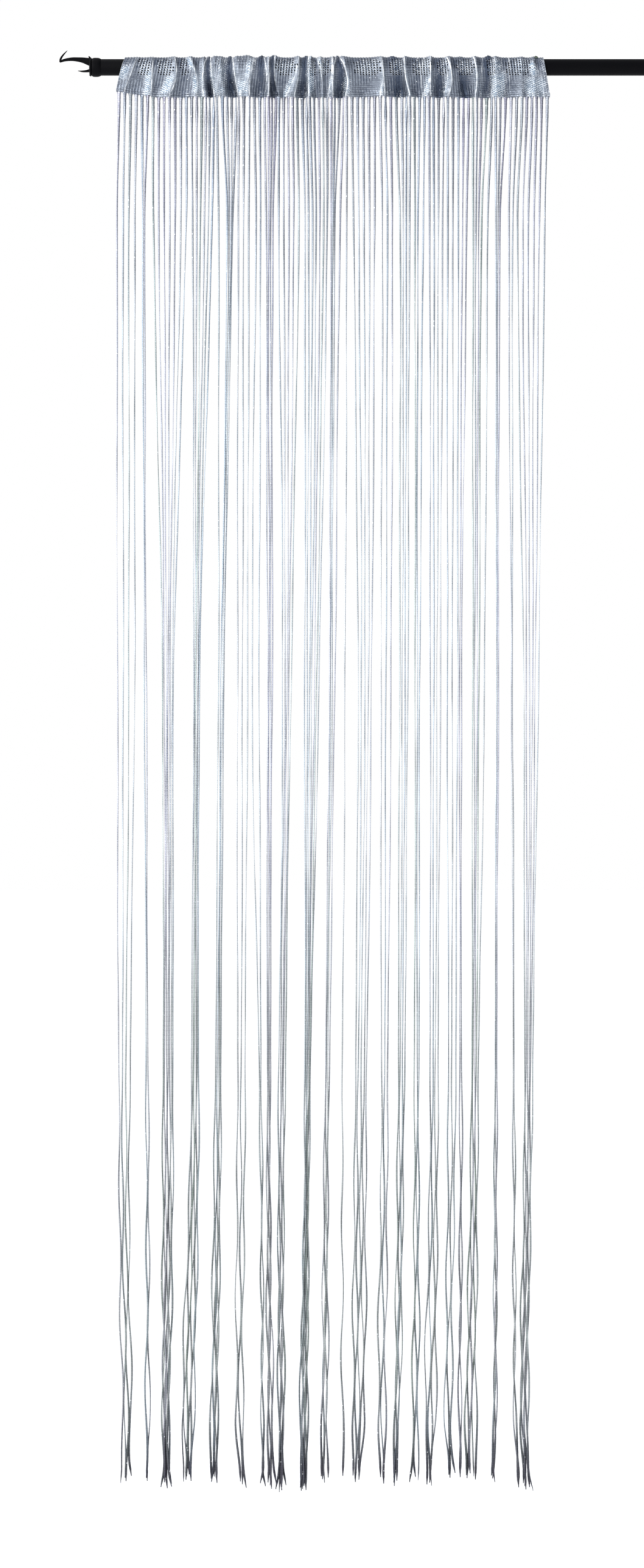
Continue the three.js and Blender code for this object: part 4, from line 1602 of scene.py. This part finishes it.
    def edge(self, pocket: Pocket, knit: Knit, material: Material) -> Piece:
        """Knits the narrow edge under the hem, which follows the hem's waves.

        Args:
            pocket: the surface that the heading lies on.
            knit: how the edge is knitted.
            material: its material.

        Returns:
            The finished edge.
        """
        rows = self.edge_rows
        shares, number = knit.across(np.full((rows, knit.wales), knit.neck_half))
        place = pocket.places_at(shares, np.zeros(rows))
        grid, marks = pocket.surface(place, np.zeros_like(place))
        grid[..., 1] += pocket.cloth / 2 - self.edge_thickness / 2
        grid[..., 2] = (np.linspace(0, pocket.strip_height + self.edge_lap, rows)[:, None]
                        - edge_depth(grid[..., 0]))
        course = np.arange(rows) / 2
        uv = np.stack(np.broadcast_arrays(number[None, :], course[:, None]), -1)
        closed = np.ones((rows, knit.wales - 1), bool)
        knit.trim(marks, course)
        piece = mesh_piece("knitted_edge", grid.reshape(-1, 3), knit.faces(rows, closed),
                           material, uv.reshape(-1, 2), marks)
        thicken(piece, self.edge_thickness)
        return settle(piece, Slot.STRINGS, "strings")


@dataclass
class Knot:
    """A small knot of loose yarn on top of the heading, near its right end."""

    place: tuple[float, float, float] = (344.8, -7.4, 16.2)
    rings: Table = ((1.25, 1.0), (0.35, 0.72))
    radius: float = 2.1
    yarn: float = 0.65
    skew: float = 0.4
    pull_from: float = 0.6
    pull: float = 0.8
    drop: float = 0.3
    sharp: float = 60.0
    colour: str = "#6f7a6c"
    dark: str = "#4c5549"
    rough: float = 0.85
    relief: float = 0.2
    ply_scale: float = 320.0
    ply_waver: float = 1.5

    def material(self) -> Material:
        """Spun grey-green yarn: matt, with twisted plies about a millimetre apart.

        Returns:
            The material.
        """
        material, shader, add = new_material("spun grey yarn")
        place = add("TexCoord")
        plies = add("TexWave", {"Vector": place.outputs["Object"], "Scale": self.ply_scale,
                                "Distortion": self.ply_waver}, bands_direction="DIAGONAL")
        ply = plies.outputs["Fac"]
        colour = add("Mix", {"Factor": ply, 6: linear(self.dark), 7: linear(self.colour)},
                     data_type="RGBA")
        bump = add("Bump", {"Height": ply, "Strength": 0.6, "Distance": self.relief * MM})
        connect(shader, {"Base Color": colour, "Normal": bump, "Roughness": self.rough})
        return material

    def build(self) -> Piece:
        """Ties two yarn rings through each other.

        Returns:
            The finished knot.
        """
        rings = []
        for tilt, size in self.rings:
            ring = start_shape(
                bpy.ops.mesh.primitive_torus_add, major_segments=28, minor_segments=10,
                major_radius=self.radius * size * MM, minor_radius=self.yarn * MM,
                location=Vector(self.place) * MM, rotation=(tilt, 0, self.skew * size))
            # One side of each ring is pulled out, so that it isn't round.
            select_faces(ring, lambda centre, normal: centre.x > self.place[0] + self.pull_from)
            bpy.ops.transform.translate(value=(self.pull * MM, 0, -self.drop * MM))
            bpy.ops.object.mode_set(mode="OBJECT")
            rings.append(ring)
        piece = finish_hardware("yarn_knot", rings, self.material(), self.sharp)
        return settle(piece, Slot.HEADING)


@dataclass
class Studio:
    """A pale floor, soft light and a camera at the photograph's angle."""

    pixel: float = 1.035
    wide: int = 1058
    high: int = 2576
    axis_column: float = 547.0
    axis_row: float = 110.7
    distance: float = 9000.0
    sensor: float = 36.0
    floor_depth: float = 2600.0
    floor_size: float = 120000.0
    front: float = 0.9
    toward_right: float = -1.5
    upward: float = 0.3
    least: float = 0.3
    tones: Stops = ((0.0, "#ffffff"), (0.5, "#f5f7fb"), (1.0, "#a3b0cc"))
    white: str = "#ffffff"
    light_place: tuple[float, float, float] = (-3000.0, -3200.0, 900.0)
    light_aim: tuple[float, float, float] = (0.0, 0.0, -600.0)
    light_width: float = 1600.0
    light_height: float = 2600.0
    light_power: float = 80.0

    def build(self) -> None:
        """Adds the floor, the world, the light and the camera."""
        self.floor()
        self.world()
        self.light()
        self.camera()

    def floor(self) -> None:
        """Lays a large plain floor."""
        bpy.ops.object.select_all(action="DESELECT")
        bpy.ops.mesh.primitive_plane_add(size=self.floor_size * MM,
                                         location=(0, 0, -self.floor_depth * MM))
        floor = bpy.context.active_object
        floor.name = "floor"
        material, shader, _ = new_material("pale floor")
        connect(shader, {"Base Color": linear(self.white), "Roughness": 0.9})
        floor.data.materials.append(material)

    def world(self) -> None:
        """Sets a white surround that lights the curtain mostly from the left."""
        world = bpy.data.worlds.new("studio")
        world.use_nodes = True
        tree = world.node_tree
        add = partial(add_node, tree)
        place = add("TexCoord")
        way = add("SeparateXYZ", {0: place.outputs["Generated"]})
        across = add("Math", {0: way.outputs["X"], 1: self.toward_right, 2: self.front},
                     operation="MULTIPLY_ADD")
        level = add("Math", {0: way.outputs["Z"], 1: self.upward, 2: across},
                    operation="MULTIPLY_ADD")
        strength = add("Math", {0: level, 1: self.least}, operation="MAXIMUM")
        side = add("MapRange", {"Value": way.outputs["X"], "From Min": -1.0, "From Max": 1.0})
        tone = add("ValToRGB", {"Fac": side})
        fill_ramp(tone, self.tones)
        lit = tree.nodes["Background"]
        connect(lit, {"Color": tone, "Strength": strength})
        seen = add("Background", {"Color": linear(self.white), "Strength": 1.0})
        ray = add("LightPath")
        both = add("MixShader", {0: ray.outputs["Is Camera Ray"], 1: lit.outputs["Background"],
                                 2: seen})
        connect(tree.nodes["World Output"], {"Surface": both})
        bpy.context.scene.world = world
        bpy.context.scene.view_settings.view_transform = "Standard"

    def light(self) -> None:
        """Adds a soft light at the left front that points at the curtain's upper half."""
        lamp = bpy.data.lights.new("key", "AREA")
        lamp.shape = "RECTANGLE"
        lamp.size = self.light_width * MM
        lamp.size_y = self.light_height * MM
        lamp.energy = self.light_power
        holder = bpy.data.objects.new("key", lamp)
        bpy.context.scene.collection.objects.link(holder)
        holder.location = Vector(self.light_place) * MM
        aim = Vector(self.light_aim) * MM - holder.location
        holder.rotation_euler = aim.to_track_quat("-Z", "Y").to_euler()

    def camera(self) -> None:
        """Sets the camera level and straight on, at the middle of the photograph's frame."""
        camera = bpy.data.cameras.new("camera")
        camera.sensor_width = self.sensor
        camera.lens = self.sensor * self.distance / (self.high * self.pixel)
        camera.clip_end = 100
        holder = bpy.data.objects.new("camera", camera)
        bpy.context.scene.collection.objects.link(holder)
        x = (self.wide / 2 - self.axis_column) * self.pixel
        z = (self.axis_row - self.high / 2) * self.pixel
        holder.location = (x * MM, -self.distance * MM, z * MM)
        holder.rotation_euler = (math.pi / 2, 0, 0)
        bpy.context.scene.camera = holder


def main() -> None:
    """Builds the curtain in order."""
    logging.basicConfig(level=logging.INFO, format="%(message)s")
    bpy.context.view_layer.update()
    knit_material = LurexKnit().material()
    chain_material = LurexChain().material()
    black = PowderCoat().material()
    rod = CurtainRod().build(black)
    EndPiece().build(black)
    pocket = Pocket()
    knit = Knit()
    hanging = Strings().build(pocket, knit, knit_material, chain_material)
    hanging.append(Knot().build())
    Heading().build(pocket, knit, knit_material, rod, hanging)
    Studio().build()


if __name__ == "__main__":
    main()
